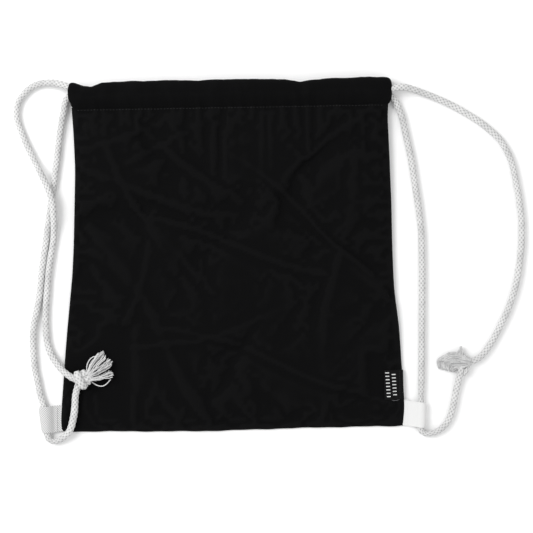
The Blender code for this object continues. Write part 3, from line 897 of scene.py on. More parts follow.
def make_sheets():
    front, rear = sheet(GRID_U, GRID_V, 1), sheet(GRID_U, GRID_V, -1)
    rows, cols = 73, 77  # of the simulated cloth
    coarse = np.meshgrid(np.linspace(-1, 1, cols), np.linspace(0, PANEL_TOP, rows))
    moved_front, moved_rear = cloth_displacement(*coarse)
    at_row, at_col = GRID_V / PANEL_TOP * (rows - 1), (GRID_U + 1) / 2 * (cols - 1)
    front = front + cubic_sample(moved_front, at_row, at_col)
    rear = rear + cubic_sample(moved_rear, at_row, at_col)
    # the sheets meet at the seams, and the cloth stays off the floor
    shared_z = (front[..., 2] + rear[..., 2]) / 2
    for edge in ((slice(None), 0), (slice(None), -1), (0, slice(None))):
        front[(*edge, 2)] = rear[(*edge, 2)] = shared_z[edge]
    rear[..., 2] = np.maximum(rear[..., 2], 0.03)
    return front, rear


front, rear = make_sheets()


# ---------------------------------------------------------------- rope paths
# Each is a list of (x, y, z). The cords leave the casings at these heights up the bag:
LEFT_CORD_Y, RIGHT_CORD_Y = 376.4, 368.6
FRONT_RUN_Z, REAR_RUN_Z = 15.1, 4.7
CASING_MIDDLE_Z = (FRONT_RUN_Z + REAR_RUN_Z) / 2

RIGHT_FRONT_STRAND = [
    (167.0, RIGHT_CORD_Y, 14.8), (171.4, RIGHT_CORD_Y + 0.4, 14.3), (175, 370.0, 13.5),
    (180, 371.8, 12.2), (185, 373.0, 11.4), (191, 373.8, 10.6), (199, 373.2, 9.2),
    (209, 370.3, 7.0), (224, 364.8, 4.6), (236, 359.6, 3.7), (254, 350.4, 3.6),
    (276.6, 336.3, 3.6), (290.2, 325.2, 3.6), (302, 313.2, 3.6), (312.8, 291.6, 3.6),
    (317.5, 270, 3.6), (321.0, 248, 3.6), (323.2, 226, 3.6), (323.0, 203, 3.6),
    (320.8, 181, 3.6), (317, 159, 3.6), (310.5, 137, 3.6), (301, 115, 3.6), (289, 93, 3.6),
    (282, 82.5, 3.7), (274, 74.4, 4.2), (265.5, 70.3, 4.9), (257.3, 69.2, 4.7),
    (250.5, 69.4, 4.5),
]
RIGHT_REAR_STRAND = [
    (167.0, RIGHT_CORD_Y - 0.3, 4.9), (171.4, RIGHT_CORD_Y - 0.6, 5.2), (175, 367.2, 5.5),
    (180, 365.2, 5.4), (184.2, 361.8, 4.7), (187.2, 357.2, 4.0), (189.4, 351, 3.6),
    (193, 341.5, 3.6), (197, 322, 3.6), (202.5, 294, 3.6), (207, 261, 3.6), (210, 238, 3.6),
    (212.3, 210, 3.6), (212.3, 172, 3.6), (212, 150, 3.6), (211, 106, 3.6), (210, 70, 3.6),
    (209.2, 45, 3.7), (208.5, 33, 4.3), (208.3, 26, 4.7), (207.9, 12, 4.7), (207.5, 1, 4.7),
    (207.4, -2.7, 4.7),
]
RIGHT_TAIL = [
    (207.7, -4.3, 4.7), (209.6, -7.4, 4.3), (213.6, -8.9, 3.8), (219.2, -8.8, 3.6),
    (226.2, -6.6, 3.6), (233.0, -1.6, 3.6), (238.7, 5.6, 3.6), (242.3, 14.3, 3.6),
    (245.3, 27.1, 3.6), (247.9, 38.9, 3.7), (250.4, 50, 4.6), (253.2, 60.0, 5.6),
    (253.6, 67.2, 5.0), (251.0, 70.2, 4.6),
]
LEFT_UPPER_LOOP = [
    (-160.0, LEFT_CORD_Y, 14.7), (-164.4, LEFT_CORD_Y + 0.2, 14.2), (-168, 377.5, 13.3),
    (-173, 379.9, 12.0), (-180, 382.8, 10.9), (-190, 385.4, 8.8), (-201.4, 385.8, 5.6),
    (-210.5, 384.2, 3.9), (-219.2, 379.2, 3.6), (-226, 372.6, 3.6), (-231.1, 363.9, 3.6),
    (-233, 353.9, 3.6), (-231.6, 343.9, 3.6), (-228.3, 333.9, 3.6), (-223.8, 322.4, 3.7),
    (-218.2, 309.6, 4.6), (-210.8, 294.8, 8.0), (-202.6, 278.4, 11.2), (-196.9, 265.2, 11.4),
    (-193.9, 254, 10.9), (-193.2, 243.2, 9.6),
]
LEFT_KNOT_STRAND = [
    (-193.0, 235, 8.2), (-193.6, 221.3, 4.8), (-195.2, 208, 3.7), (-198, 192.6, 3.6),
    (-200.8, 173.8, 3.6), (-202.4, 157.2, 3.6), (-203.9, 140.6, 3.6), (-204.6, 124, 3.6),
    (-204.2, 109.6, 3.6), (-202.6, 96.3, 3.8), (-198.6, 85.4, 4.8), (-192.6, 75.8, 7.0),
    (-186.0, 68.2, 9.6), (-178.8, 62.6, 11.6), (-172.3, 59.0, 13.0), (-165.0, 58.6, 13.6),
    (-158.2, 59.6, 13.3),
]
LEFT_REAR_STRAND = [
    (-160.0, LEFT_CORD_Y - 0.4, 4.9), (-164.4, LEFT_CORD_Y - 1.0, 5.2), (-168, 374.6, 5.5),
    (-173, 371.6, 5.6), (-177.2, 367.4, 4.9), (-179.4, 362.4, 4.1), (-180.2, 355.6, 3.7),
    (-182.6, 345, 3.6), (-186.2, 323, 3.6), (-189, 301, 3.6), (-192.2, 279, 3.6),
    (-195.6, 258, 3.6), (-199.2, 236, 3.6), (-201.4, 221, 3.6), (-203.2, 208, 3.6),
    (-205.8, 192, 3.6), (-208.6, 173, 3.6), (-210.2, 157, 3.6), (-212.2, 145, 3.6),
    (-216.8, 124, 3.6), (-218.8, 108, 3.6), (-218.9, 91, 3.6), (-217.2, 69, 3.6),
    (-214.6, 57, 3.6), (-212.4, 44, 3.8), (-209.6, 34, 4.4), (-208.2, 28, 4.7),
    (-206.5, 13, 4.7), (-205.0, 1, 4.7), (-204.9, -2.7, 4.7),
]
LEFT_TAIL = [
    (-204.6, -5.0, 4.7), (-202.8, -8.3, 4.4), (-199.2, -10.1, 4.0), (-195.2, -10.0, 3.9),
    (-190.8, -8.2, 4.4), (-186.4, -5.2, 5.8), (-182.0, -1.6, 7.5), (-178.6, 3.8, 8.1),
    (-176.2, 11.9, 8.3), (-174.4, 20.2, 8.5), (-173.4, 28.8, 8.8), (-172.6, 38.9, 9.6),
    (-171.0, 46, 11.0), (-168.2, 53.2, 12.9), (-163.5, 57.0, 13.4), (-157.8, 58.0, 13.0),
]

right_front = Cord(RIGHT_FRONT_STRAND)
right_rear = Cord(RIGHT_REAR_STRAND + RIGHT_TAIL, phase=1.7)
left_front = Cord(LEFT_UPPER_LOOP + LEFT_KNOT_STRAND, phase=0.6)
left_rear = Cord(LEFT_REAR_STRAND + LEFT_TAIL, phase=3.1)

left_front.narrow([
    ((-231.6, 343.9, 3.6), 0.92, 24), ((-210.8, 294.8, 8.0), 0.90, 18), ((-186, 68, 9.6), 0.93, 10),
])
left_rear.narrow([
    ((-199.2, -10.1, 4.0), 0.84, 9), ((-208, 30, 4.5), 0.93, 8), ((-176.2, 12, 8.3), 1.03, 14),
])
right_front.narrow([((192, 373.0, 12.4), 1.10, 9), ((317.5, 270, 3.6), 0.94, 40)])
right_rear.narrow([
    ((213.6, -8.9, 3.8), 0.82, 10), ((208.5, 33, 4.3), 0.82, 8), ((226, -6.6, 3.6), 0.90, 10),
])


# ---------------------------------------------------------------- front cloth under its load
LEFT_KNOT = np.array([-166.2, 57.4, 14.0])


def lower_cloth():
    """The front sheet passes below whatever rests on it: (centre, reach)."""
    resting = []
    for path in (left_front.path, left_rear.path):
        x, y = path[:, 0], path[:, 1]
        resting += [(p, 4.2) for p in path[(x > -193) & (y < 120) & (y > -8)][::8]]
    resting += [(LEFT_KNOT, 8.2)]
    resting += [(np.array(p), 5.0) for p in ((-150.0, 68.0, 12.4), (-142.0, 76.0, 11.6))]
    for centre, reach in resting:
        gap = np.linalg.norm(front[..., :2] - centre[:2], axis=-1)
        drop = np.sqrt(np.maximum(reach**2 - np.minimum(gap, reach) ** 2, 0))
        limit = centre[2] - drop + np.maximum(gap - reach, 0) * 0.5
        z = front[..., 2]
        front[..., 2] = np.where(gap < reach + 6, np.minimum(z, limit), z)


def press_flat(share):
    """Takes folds of the front sheet down to its base, by a share from 0 to 1."""
    flat, z = front_base(GRID_V), front[..., 2]
    front[..., 2] = np.where(z > flat, z * (1 - share) + flat * share, z)


lower_cloth()
# under the label
press_flat(
    smooth01((front[..., 0] - LABEL_LEFT + 26) / 14)
    * smooth01((front[..., 1] - LABEL_BOTTOM + 26) / 14)
    * smooth01((LABEL_TOP + 26 - front[..., 1]) / 14)
)
# where the left knot and its frayed ends lie, and where they slide and swing
press_flat(smooth01((-104 - front[..., 0]) / 14) * smooth01((124 - front[..., 1]) / 14))
gap = 1.7 * smooth01(FROM_SIDE / 6) * smooth01(GRID_V / 6)
front[..., 2] = np.maximum(front[..., 2], rear[..., 2] + gap)


def half_sheet(face, side):
    """One half of a panel as a thin closed shell."""
    P = front if face > 0 else rear
    normals = unit(np.cross(np.gradient(P, axis=1), np.gradient(P, axis=0)) * face)
    columns = slice(0, MIDDLE + 1) if side < 0 else slice(MIDDLE, None)
    p, n = P[:, columns], normals[:, columns]
    verts = np.vstack([p.reshape(-1, 3), (p - n * 0.8).reshape(-1, 3)])
    faces = shell_faces(*p.shape[:2])
    if face < 0:
        faces = faces[:, ::-1]
    x, y, z = np.moveaxis(p, -1, 0)
    # worn along the seams and on the ridges
    wear = 0.55 * np.exp(-FROM_SIDE[:, columns] / 2.2) + 0.5 * np.exp(-GRID_V[:, columns] / 2.2)
    bend = sum(np.gradient(np.gradient(z, axis=a), axis=a) for a in (1, 0))
    wear = wear * (0.6 + 0.5 * value_noise(x, y, 9, 60)) + np.clip(-bend * 2.0, 0, 0.25)
    obj = build(
        f"{FACES[face]}_panel_{HANDS[side]}", verts, faces, CANVAS,
        at_corners(faces, np.tile(p[..., :2].reshape(-1, 2), (2, 1))),
        {"wear": np.tile(np.clip(wear, 0, 1).ravel(), 2)},
        normals=np.vstack([n.reshape(-1, 3), -n.reshape(-1, 3)]),
    )
    follow(obj, np.tile(gather_weight(x, y).ravel(), 2))
    if face > 0:
        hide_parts("front_panel", f"{HANDS[side]}_side_seam", "bottom_seam")
    else:
        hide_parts("rear_panel")


for face in FACES:
    for side in HANDS:
        half_sheet(face, side)


def panel_height(P, x, y):
    """Height of a sheet's outer face above a plan point."""
    x, y = np.atleast_1d(x), np.atleast_1d(y)
    col = np.interp(x / half_width(x, y), SHEET_U, np.arange(len(SHEET_U)))
    low = bottom_edge(x)
    up_cloth = (y - low) * PANEL_TOP / (PANEL_TOP - low)
    row = np.interp(up_cloth, SHEET_V, np.arange(len(SHEET_V)))
    return cubic_sample(P[..., 2:3], row, col)[..., 0]


# ---------------------------------------------------------------- casings
CASING_TOP = 385.4
CASING_STEP = 1.35  # round the contour
CASING_BASE = 13.45  # z that the front contour is counted from
# by side: where the casing ends, where its mouth opens, and the height it closes towards
CASING_SIDES = {-1: (-174.9, 165.0, 374.6), 1: (182.0, 172.0, 372.6)}
# distances from a casing's end, before its sections become evenly spaced
CASING_FINE = [0.0, 0.15, 0.45, 0.9, 1.5, 2.2, 3.0, 4.0, 5.2, 6.6, 8.2]
# (height up the bag, z) round the hem's section, from the seam over its outer face
FRONT_CONTOUR = [
    (355.5, -0.35), (356.3, 0.28), (358.4, 1.5), (362.0, 3.6), (366.5, 5.25), (369.4, 5.6),
    (372.5, 5.25), (376.4, 5.75), (380.6, 5.2), (383.8, 3.4), (385.4, 1.4), (384.8, -0.6),
    (381.8, -2.2), (376.4, -2.95), (368.6, -2.95), (362.0, -2.3), (357.6, -1.3),
]
REAR_CONTOUR = [
    (355.5, 0.35), (356.3, 0.0), (358.4, 0.0), (362.0, 0.04), (366.5, 0.03), (369.4, 0.03),
    (372.5, 0.08), (376.4, 0.04), (380.6, 0.6), (383.8, 2.3), (385.4, 4.6), (384.8, 6.7),
    (381.8, 8.5), (376.4, 9.25), (368.6, 9.25), (362.0, 8.0), (357.6, 2.0),
]


def casing_half(face, side):
    """The folded hem over half of the mouth: it swells over the two cords, closes round
    their turn at its end, and its top edge dips where it is creased."""
    end, open_at, close_y = CASING_SIDES[side]
    size = abs(end)
    from_end = np.concatenate([CASING_FINE, np.linspace(9.8, size, int(size / 1.7))])
    xs = side * (size - from_end)[::-1]  # from the middle to the end
    contour, _ = even(catmull(FRONT_CONTOUR if face > 0 else REAR_CONTOUR, 12), CASING_STEP)
    height, lift = contour.T
    n, M = len(xs), len(contour)
    outer = np.arange(M) < M * 0.56
    # how much each contour point follows the panel's own height at the seam
    near_seam = np.clip(1 - (height - 356) / 22, 0, 1)
    limit = 0.97 * half_width(side, 352.0)
    P = front if face > 0 else rear
    panel_z = panel_height(P, np.clip(xs, -limit, limit), np.full(n, 356.0))[:, None]

    X = np.repeat(xs[:, None], M, 1)
    dip = (top_edge(xs)[:, None] - CASING_TOP) / 28.4
    Y = 357.0 + (height - 357.0) * (1 + dip * smooth01((height - 357) / 20))
    if face > 0:
        Z = CASING_BASE + (panel_z - CASING_BASE) * near_seam + lift
    else:
        Z = np.where(outer, panel_z * near_seam, 0) + lift
    # creases that run over the hem, a few of them slanting
    arc = np.arange(M) * CASING_STEP
    push = 0.42 * value_noise(X + 0.25 * arc, arc * 0.35, 4.6, 90 + face)
    push += 0.55 * value_noise(X - 0.4 * arc, arc * 0.5, 13.0, 95 + face)
    push *= np.clip(np.sin(np.pi * np.arange(M) / (M - 1)), 0, 1)
    if face > 0:
        swell = np.maximum(push, -0.12)
    else:
        push *= 0.7
        swell = np.maximum(push, 0) * 0.8
    Z = Z + np.where(outer, swell, 0)
    Y = Y + 0.5 * push * smooth01((height - 379) / 5)
    # towards the end, the inner faces of the two casings meet round the cords' turn
    meet = smooth01((np.abs(X) - (open_at - 5)) / 6)
    Z = np.where(~outer & (height > 359), Z * (1 - meet) + CASING_MIDDLE_Z * meet, Z)
    # and the whole section closes
    t = np.clip((size - np.abs(X)) / 9.0, 0, 1)
    close = np.maximum((1 - (1 - t) ** 3.2) ** (1 / 3.2), 0.05)
    if side < 0:
        X = X + 2.0 * smooth01((363.0 - Y) / 6) * smooth01((np.abs(X) - 158) / 14)
    Y = close_y + (Y - close_y) * close
    Z = CASING_MIDDLE_Z + (Z - CASING_MIDDLE_Z) * close
    if face < 0:
        Z = np.maximum(Z, 0.03)

    verts = np.stack([X, Y, Z], -1)
    faces = tube_faces(n, M, flip=True)
    # outward is away from the contour's middle
    ring = verts[n // 2]
    corner = ring[5]
    away = corner - ring.mean(0)
    if np.cross(verts[n // 2 + 1, 5] - corner, ring[6] - corner) @ away < 0:
        faces = [f[::-1] for f in faces]
    round_contour = np.roll(verts, -1, 1) - np.roll(verts, 1, 1)
    normal = unit(np.cross(np.gradient(verts, axis=0), round_contour))
    if normal[n // 2, 5] @ away < 0:
        normal = -normal
    uv = np.stack(np.broadcast_arrays(X, 355.5 + arc), -1).reshape(-1, 2)
    wear = 0.4 * bell(height - CASING_TOP, 1.3) * (0.7 + 0.5 * value_noise(X, Y, 8, 71))
    wear += np.clip(push * 0.25, 0, 0.2)
    obj = build(
        f"{FACES[face]}_casing_{HANDS[side]}", verts.reshape(-1, 3), faces, CANVAS,
        at_corners(faces, uv), {"wear": np.clip(wear, 0, 1).ravel()},
        normals=normal.reshape(-1, 3),
    )
    follow(obj, gather_weight(X, Y).ravel())
    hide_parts(f"{FACES[face]}_casing")


for face in FACES:
    for side in HANDS:
        casing_half(face, side)


# ---------------------------------------------------------------- cords inside the casings
def casing_run(node, mouth_x, far_x, y):
    """One cord inside both casings, cut at the middle of the bag into a piece for
    each side."""
    out = 1 if far_x > mouth_x else -1
    bend = (FRONT_RUN_Z - REAR_RUN_Z) / 2

    def run(xs, z):
        """Along a casing, dipping where its top edge does."""
        return [
            (x, y - 2.2 * bell(x + 150, 9.0) - 1.2 * bell(x - 81, 9.0), z) for x in xs
        ]

    xs = np.linspace(mouth_x, far_x, 70)
    turn = [
        (far_x + out * bend * math.cos(a), y, CASING_MIDDLE_Z + bend * math.sin(a))
        for a in np.radians(np.linspace(72, -72, 9))
    ]
    points = run(xs, FRONT_RUN_Z) + turn + run(xs[::-1], REAR_RUN_Z)
    cord = Cord(points, radius=3.1, ring=1.6, around=16, sigma=1.0, plain=True)
    x = cord.path[:, 0]
    a, b = [i for i in range(1, len(x)) if (x[i - 1] < 0) != (x[i] < 0)]

    def weights(path):
        return np.repeat(gather_weight(path[:, 0], path[:, 1]), cord.around)

    near_hand, far_hand = HANDS[-out], HANDS[out]
    ends = [cord.piece("run_a", 0, a), cord.piece("run_b", b)]
    far = cord.piece(f"{node}_{far_hand}", a, b)
    follow(far, weights(cord.path[a : b + 1]))
    near = joined(ends, f"{node}_{near_hand}")
    near_path = np.vstack([cord.path[: a + 1], cord.path[b:]])
    follow(near, weights(near_path))
    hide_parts(node)
    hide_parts(node)


casing_run("left_drawcord_casing_run", mouth_x=-164.8, far_x=172.5, y=LEFT_CORD_Y)
casing_run("right_drawcord_casing_run", mouth_x=171.8, far_x=-165.0, y=RIGHT_CORD_Y)


# ---------------------------------------------------------------- thread stitches
def stitches(name, path, normals, length, gap, radius, material, lift=0.12):
    """Single stitches along a path: each dips into the cloth at its two ends. Also
    returns the middle of its stitch for each vertex."""
    path, s = even(np.hstack([path, normals]), 0.25)
    around, rings = 7, 7
    r = random.Random(len(name) * 7 + 1)
    arch = np.sin(np.linspace(0, math.pi, rings))
    verts, faces, uvs, mids = [], [], [], []
    start = gap / 2
    while start + length < s[-1]:
        stop = start + length * r.uniform(0.93, 1.05)
        at = np.linspace(start, min(stop, s[-1]), rings)
        sampled = np.stack([np.interp(at, s, column) for column in path.T], 1)
        normal = unit(sampled[:, 3:])
        rise = lift * 1.5 * arch - radius * 1.25 * (1 - arch) + 0.02
        points = sampled[:, :3] + normal * rise[:, None]
        tangent = unit(np.gradient(points, axis=0))
        side = unit(np.cross(tangent, normal))
        up = np.cross(side, tangent)
        size = (radius * (0.55 + 0.45 * arch))[:, None]
        faces += tube_faces(rings, around, base=len(verts) * rings * around, flip=True)
        verts.append(tube_points(points, size, side * 1.1, up, around).reshape(-1, 3))
        mids.append(np.repeat(points[None, rings // 2], rings * around, 0))
        turn = np.tile(np.arange(around) / around, rings)
        uvs.append(np.stack([turn, np.repeat(at, around)], 1))
        start += length + gap
    verts = np.vstack(verts)
    verts[:, 2] = np.maximum(verts[:, 2], 0.02)
    uv = at_corners(faces, np.vstack(uvs))
    return build(name, verts, faces, material, uv, sharp=60), np.vstack(mids)


def casing_stitching(face, side):
    node, count = f"{FACES[face]}_casing_stitching", 700
    xs = side * np.linspace(0.4, 168.0 if side < 0 else 174.0, count)
    ys = np.full(count, STITCH_Y)
    path = np.stack([xs, ys, panel_height(front if face > 0 else rear, xs, ys)], 1)
    obj, mids = stitches(
        f"{node}_{HANDS[side]}", path, np.tile([0, 0, float(face)], (count, 1)),
        length=2.7, gap=0.9, radius=0.3, material=BLACK_THREAD,
    )
    follow(obj, gather_weight(mids[:, 0], mids[:, 1]))
    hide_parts(node)


for face in FACES:
    for side in HANDS:
        casing_stitching(face, side)


# ---------------------------------------------------------------- the straps' ropes
def rope_part(node, cord, body, first=0, last=None, over=None):
    """A length of rope. Without `over`, it is parented to the empty of `body`; with
    `over`, its transform is only baked and it is not parented."""
    obj = cord.piece(f"{node}_rope", first, last)
    if over is None:
        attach(obj, body)
    else:
        s = cord.s[first : None if last is None else last + 1]
        follow(obj, smooth01(np.repeat(s - s[0], cord.around) / over))
    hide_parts(node)


OUT_OF_CASING = 34  # length in mm passed to rope_part as `over`
cut = right_rear.at(RIGHT_REAR_STRAND[-1])
rope_part(
    "right_cord_rear_strand", right_rear, "right_strap", last=cut,
    over=OUT_OF_CASING,
)
rope_part("right_cord_tail", right_rear, "right_strap", first=cut)
rope_part(
    "right_cord_front_strand", right_front, "right_strap",
    over=OUT_OF_CASING,
)
cut = left_rear.at(LEFT_REAR_STRAND[-1])
rope_part(
    "left_cord_rear_strand", left_rear, "left_strap", last=cut,
    over=OUT_OF_CASING,
)
rope_part(
    "left_cord_tail", left_rear, "left_knot_loop", first=cut, over=14
)
cut = left_front.at(LEFT_UPPER_LOOP[-1])
rope_part(
    "left_cord_upper_loop", left_front, "left_strap", last=cut,
    over=OUT_OF_CASING,
)
rope_part(
    "left_cord_knot_strand", left_front, "left_knot_loop", first=cut,
    over=20,
)


# ---------------------------------------------------------------- knots
def knot_axes(heading, slope):
    """A knot's axis, the level direction across it, and the one square to both."""
    a = math.radians(heading)
    axis = unit(np.array([math.cos(a), math.sin(a), slope]))
    level = np.array([-math.sin(a), math.cos(a), 0.0])
    return axis, level, np.cross(axis, level)


def wrap(centre, axes, wide, tall, degrees, along, steps=60, tuck=0.55):
    """A turn of rope round the axis, its ends tucked inwards."""
    axis, level, square = axes
    out = []
    for t in np.arange(steps + 1) / steps:
        phi = math.radians(degrees[0] + (degrees[1] - degrees[0]) * t)
        ease = 1 - tuck * smooth01((t - 0.86) / 0.14) - tuck * smooth01((0.12 - t) / 0.12)
        forward = along[0] + (along[1] - along[0]) * t
        turn = level * wide * math.cos(phi) + square * tall * math.sin(phi)
        out.append(centre + axis * forward + ease * turn)
    return np.array(out)


def knot_part(points, radius, phase=0.0, floor=None, first=1.0, last=1.0, sigma=3.0):
    """A turn or core of a knot; its ends can be drawn in, to shares of the radius."""
    cord = Cord(points, radius=radius, sigma=sigma, phase=phase, floor=floor)
    t = cord.s / cord.s[-1]
    cord.scale *= 1 - (1 - first) * smooth01((0.3 - t) / 0.3)
    cord.scale *= 1 - (1 - last) * smooth01((t - 0.7) / 0.3)
    return cord.piece("knot_part")


def knot_core(centre, axis, offsets, radius, **options):
    points = np.array([centre + axis * offset for offset in offsets])
    return knot_part(points, radius, sigma=2.0, **options)


LEFT_AXES = knot_axes(heading=14.0, slope=-0.05)
left_centre = LEFT_KNOT + np.array([2.2, 0.9, -0.2])
left_knot = joined(
    [
        knot_part(
            wrap(left_centre, LEFT_AXES, 7.3, 4.7, degrees=(-64, 400), along=(-5.0, 4.2)),
            radius=4.3, phase=1.1,
        ),
        knot_part(
            wrap(
                left_centre, LEFT_AXES, 5.0, 3.2, degrees=(150, 345), along=(4.9, 7.6),
                steps=40, tuck=0.25,
            ),
            radius=3.3, phase=2.3,
        ),
        knot_core(left_centre, LEFT_AXES[0], (-8.5, -2.0, 4.0, 12.0), radius=4.7, last=0.42),
    ],
    "left_knot_turns",
)
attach(left_knot, "left_knot_loop")
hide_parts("left_knot")

# the right knot lies under its own frayed strands
RIGHT_KNOT = np.array([255.6, 69.4, 5.4])
RIGHT_AXES = knot_axes(heading=176.0, slope=-0.03)
right_knot = joined(
    [
        knot_part(
            wrap(RIGHT_KNOT, RIGHT_AXES, 6.4, 1.9, degrees=(30, 420), along=(-3.2, 2.6)),
            radius=3.2, phase=0.4, floor=ROPE_FLOOR,
        ),
        knot_core(
            RIGHT_KNOT, RIGHT_AXES[0], (-9.0, -2.0, 3.0, 8.5), radius=4.2,
            floor=ROPE_FLOOR, first=0.75, last=0.5,
        ),
        # the end of the turn hangs out beside the tail
        knot_part(
            [(261.0, 68.0, 6.0), (260.0, 63.0, 6.4), (258.2, 58.6, 6.0), (256.6, 54.8, 4.8)],
            radius=2.7, phase=2.0, floor=ROPE_FLOOR, last=0.55, sigma=2.0,
        ),
    ],
    "right_knot_turns",
)
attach(right_knot, "right_strap")
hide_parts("right_knot")


# ---------------------------------------------------------------- frayed ends
def yarn_mesh(name, curves, material=YARN, around=8):
    """Soft twisted yarns, each a tube with two plies that turn along it. A curve is its
    path, radius and tone. Also returns the vertices."""
    verts, faces, uvs, tones = [], [], [], []
    base = 0
    theta = TWO_PI * np.arange(around) / around
    for path, radius, tone in curves:
        n = len(path)
        s = arc_length(path)
        ply = 1 + 0.16 * np.cos(2 * theta - s[:, None] * 2.4)
        frac = s / s[-1]
        # the cut end is a little fluffed, then closes
        close = np.where(frac > 0.995, 0.45, np.where(frac > 0.975, 0.85, 1.0))
        size = radius * (1.0 + 0.14 * smooth01((frac - 0.85) / 0.12)) * close
        ring = tube_points(path, size[:, None] * ply, *frames(path), around)
        verts.append(ring.reshape(-1, 3))
        uvs.append(np.stack([np.tile(np.arange(around) / around, n), np.repeat(s, around)], 1))
        tones.append(np.full(n * around, tone))
        faces += tube_faces(n, around, base)
        base += n * around
    verts = np.vstack(verts)
    uv = at_corners(faces, np.vstack(uvs))
    attrs = {"tone": np.concatenate(tones)}
    return build(name, verts, faces, material, uv, attrs, sharp=80), verts


def waved(r, path, wave, hold=0.5):
    """Small bends along a yarn; none where it leaves its knot."""
    t = np.linspace(0, 1, len(path))
    side = unit(np.cross(UP, unit(path[-1] - path[0])))
    for axis, share in ((side, 1.0), (UP, 0.6)):
        off = np.zeros(len(path))
        for k, amp in ((1.0, 1.0), (2.1, 0.55), (3.7, 0.32), (6.1, 0.2)):
            off += amp * np.sin(TWO_PI * (k * t * r.uniform(0.7, 1.2) + r.random()))
        off -= off[0]
        path = path + axis * (wave * share * off * smooth01(t / hold))[:, None]
    return path


def closing_end(path):
    """Extra points near the tip, so that its end can be rounded."""
    last, before = path[-1], path[-2]
    return np.vstack([path[:-1], [before + (last - before) * f for f in (0.45, 0.8, 1.0)]])


def heading_vector(degrees, z):
    a = math.radians(degrees)
    return np.array([math.cos(a), math.sin(a), z])


def yarn_path(r, start, leave, tip, arrive, wave, ground, radius, count=46):
    """From the neck to a tip: leaves on one heading, arrives on another, waves a little."""
    pull = np.linalg.norm(tip - start) * 0.36
    leaving, arriving = heading_vector(leave, 0.05), heading_vector(arrive, -0.10)
    curve = bezier(start, start + leaving * pull, tip - arriving * pull, tip, count)
    path = waved(r, curve, wave)
    path[:, 2] = np.maximum(path[:, 2], ground(path[:, 0], path[:, 1]) + radius * 1.05)
    return closing_end(path)


def on_pouch(x, y):
    return panel_height(front, x, y)


def on_floor(x, y):
    return np.zeros(np.shape(x))


# Three groups of yarns, as the rope's strands came apart, each in three layers spread
# evenly, so that gaps show between them: (x, y) of the tips, headings at the neck,
# headings at the tips, place across the neck, yarns in each layer.
LEFT_GROUPS = [
    (
        [(-149.2, 80.2), (-147.4, 85.2), (-143.6, 88.6), (-140.2, 89.8), (-138.4, 86.0),
         (-136.8, 82.6)],
        (93, 64), (70, 54), (1.0, 0.15), (10, 10, 10),
    ),
    (
        [(-135.8, 81.8), (-130.4, 78.8), (-131.0, 73.6)],
        (58, 40), (47, 39), (0.1, -0.3), (5, 6, 5),
    ),
    (
        [(-134.2, 68.4), (-130.4, 65.6), (-129.6, 61.0)],
        (24, 3), (36, 20), (-0.4, -0.95), (5, 6, 5),
    ),
]
# z of the tips and place up the neck, from the lowest layer
LEFT_LAYERS = [(8.9, -2.6), (10.9, -0.2), (13.0, 2.4)]
# strays: one bows out at the upper left, one runs along the bottom. (x, y) and first z
LEFT_STRAYS = [
    ([(-157.2, 62.0), (-159.0, 67.4), (-158.8, 73.8), (-156.0, 79.6), (-151.6, 82.9),
      (-147.8, 82.4)], 11.6),
    ([(-155.2, 56.2), (-151.4, 53.0), (-147.0, 50.8), (-142.2, 50.4), (-138.0, 52.8),
      (-133.6, 57.6)], 9.0),
]


def between(pair, t):
    return pair[0] + (pair[1] - pair[0]) * t


def left_yarns():
    r = random.Random(11)
    axis, level, square = LEFT_AXES
    neck = left_centre + axis * 10.2
    curves = []
    for tips, leaves, arrives, places, counts in LEFT_GROUPS:
        line, _ = even(catmull([(x, y, 0.0) for x, y in tips], 10), 0.2)
        for layer, (count, (tip_z, neck_z)) in enumerate(zip(counts, LEFT_LAYERS)):
            for k in range(count):
                t = (k + 0.5 + r.uniform(-0.22, 0.22) + 0.3 * (layer - 1)) / count
                t = min(max(t, 0.0), 1.0)
                arrive = between(arrives, t)
                start = neck + level * 3.6 * between(places, t) - axis * 3.6
                start = start + square * (neck_z + r.uniform(-0.4, 0.4))
                shorten = abs(r.gauss(0, 1.1)) + (r.uniform(2, 6) if r.random() < 0.2 else 0)
                tip = line[int(t * (len(line) - 1))] - shorten * heading_vector(arrive, 0.0)
                tip[2] = tip_z + r.uniform(-0.7, 0.7)
                radius = r.uniform(0.42, 0.56)
                path = yarn_path(
                    r, start, leave=between(leaves, t) + r.uniform(-4, 4), tip=tip,
                    arrive=arrive + r.uniform(-12, 12), wave=r.uniform(0.30, 0.72),
                    ground=on_pouch, radius=radius,
                )
                # painted shade: the lowest layer, under the others, gets a darker tone; within a
                # layer it differs at random
                tone = r.uniform(0.25, 0.6) if layer == 0 else r.uniform(0.5, 1.0)
                curves.append((path, radius, tone))
    for points, z in LEFT_STRAYS:
        path = catmull([(x, y, z - 0.4 * i) for i, (x, y) in enumerate(points)], 8)
        path[:, 2] = np.maximum(path[:, 2], on_pouch(path[:, 0], path[:, 1]) + 0.75)
        curves.append((closing_end(path), 0.62, 0.95))
    return curves


left_tassel, verts = yarn_mesh("left_tassel_yarns", left_yarns())
away = np.linalg.norm(verts - LEFT_KNOT, axis=1)
follow(left_tassel, smooth01((away - 8.5) / 11))
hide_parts("left_tassel")

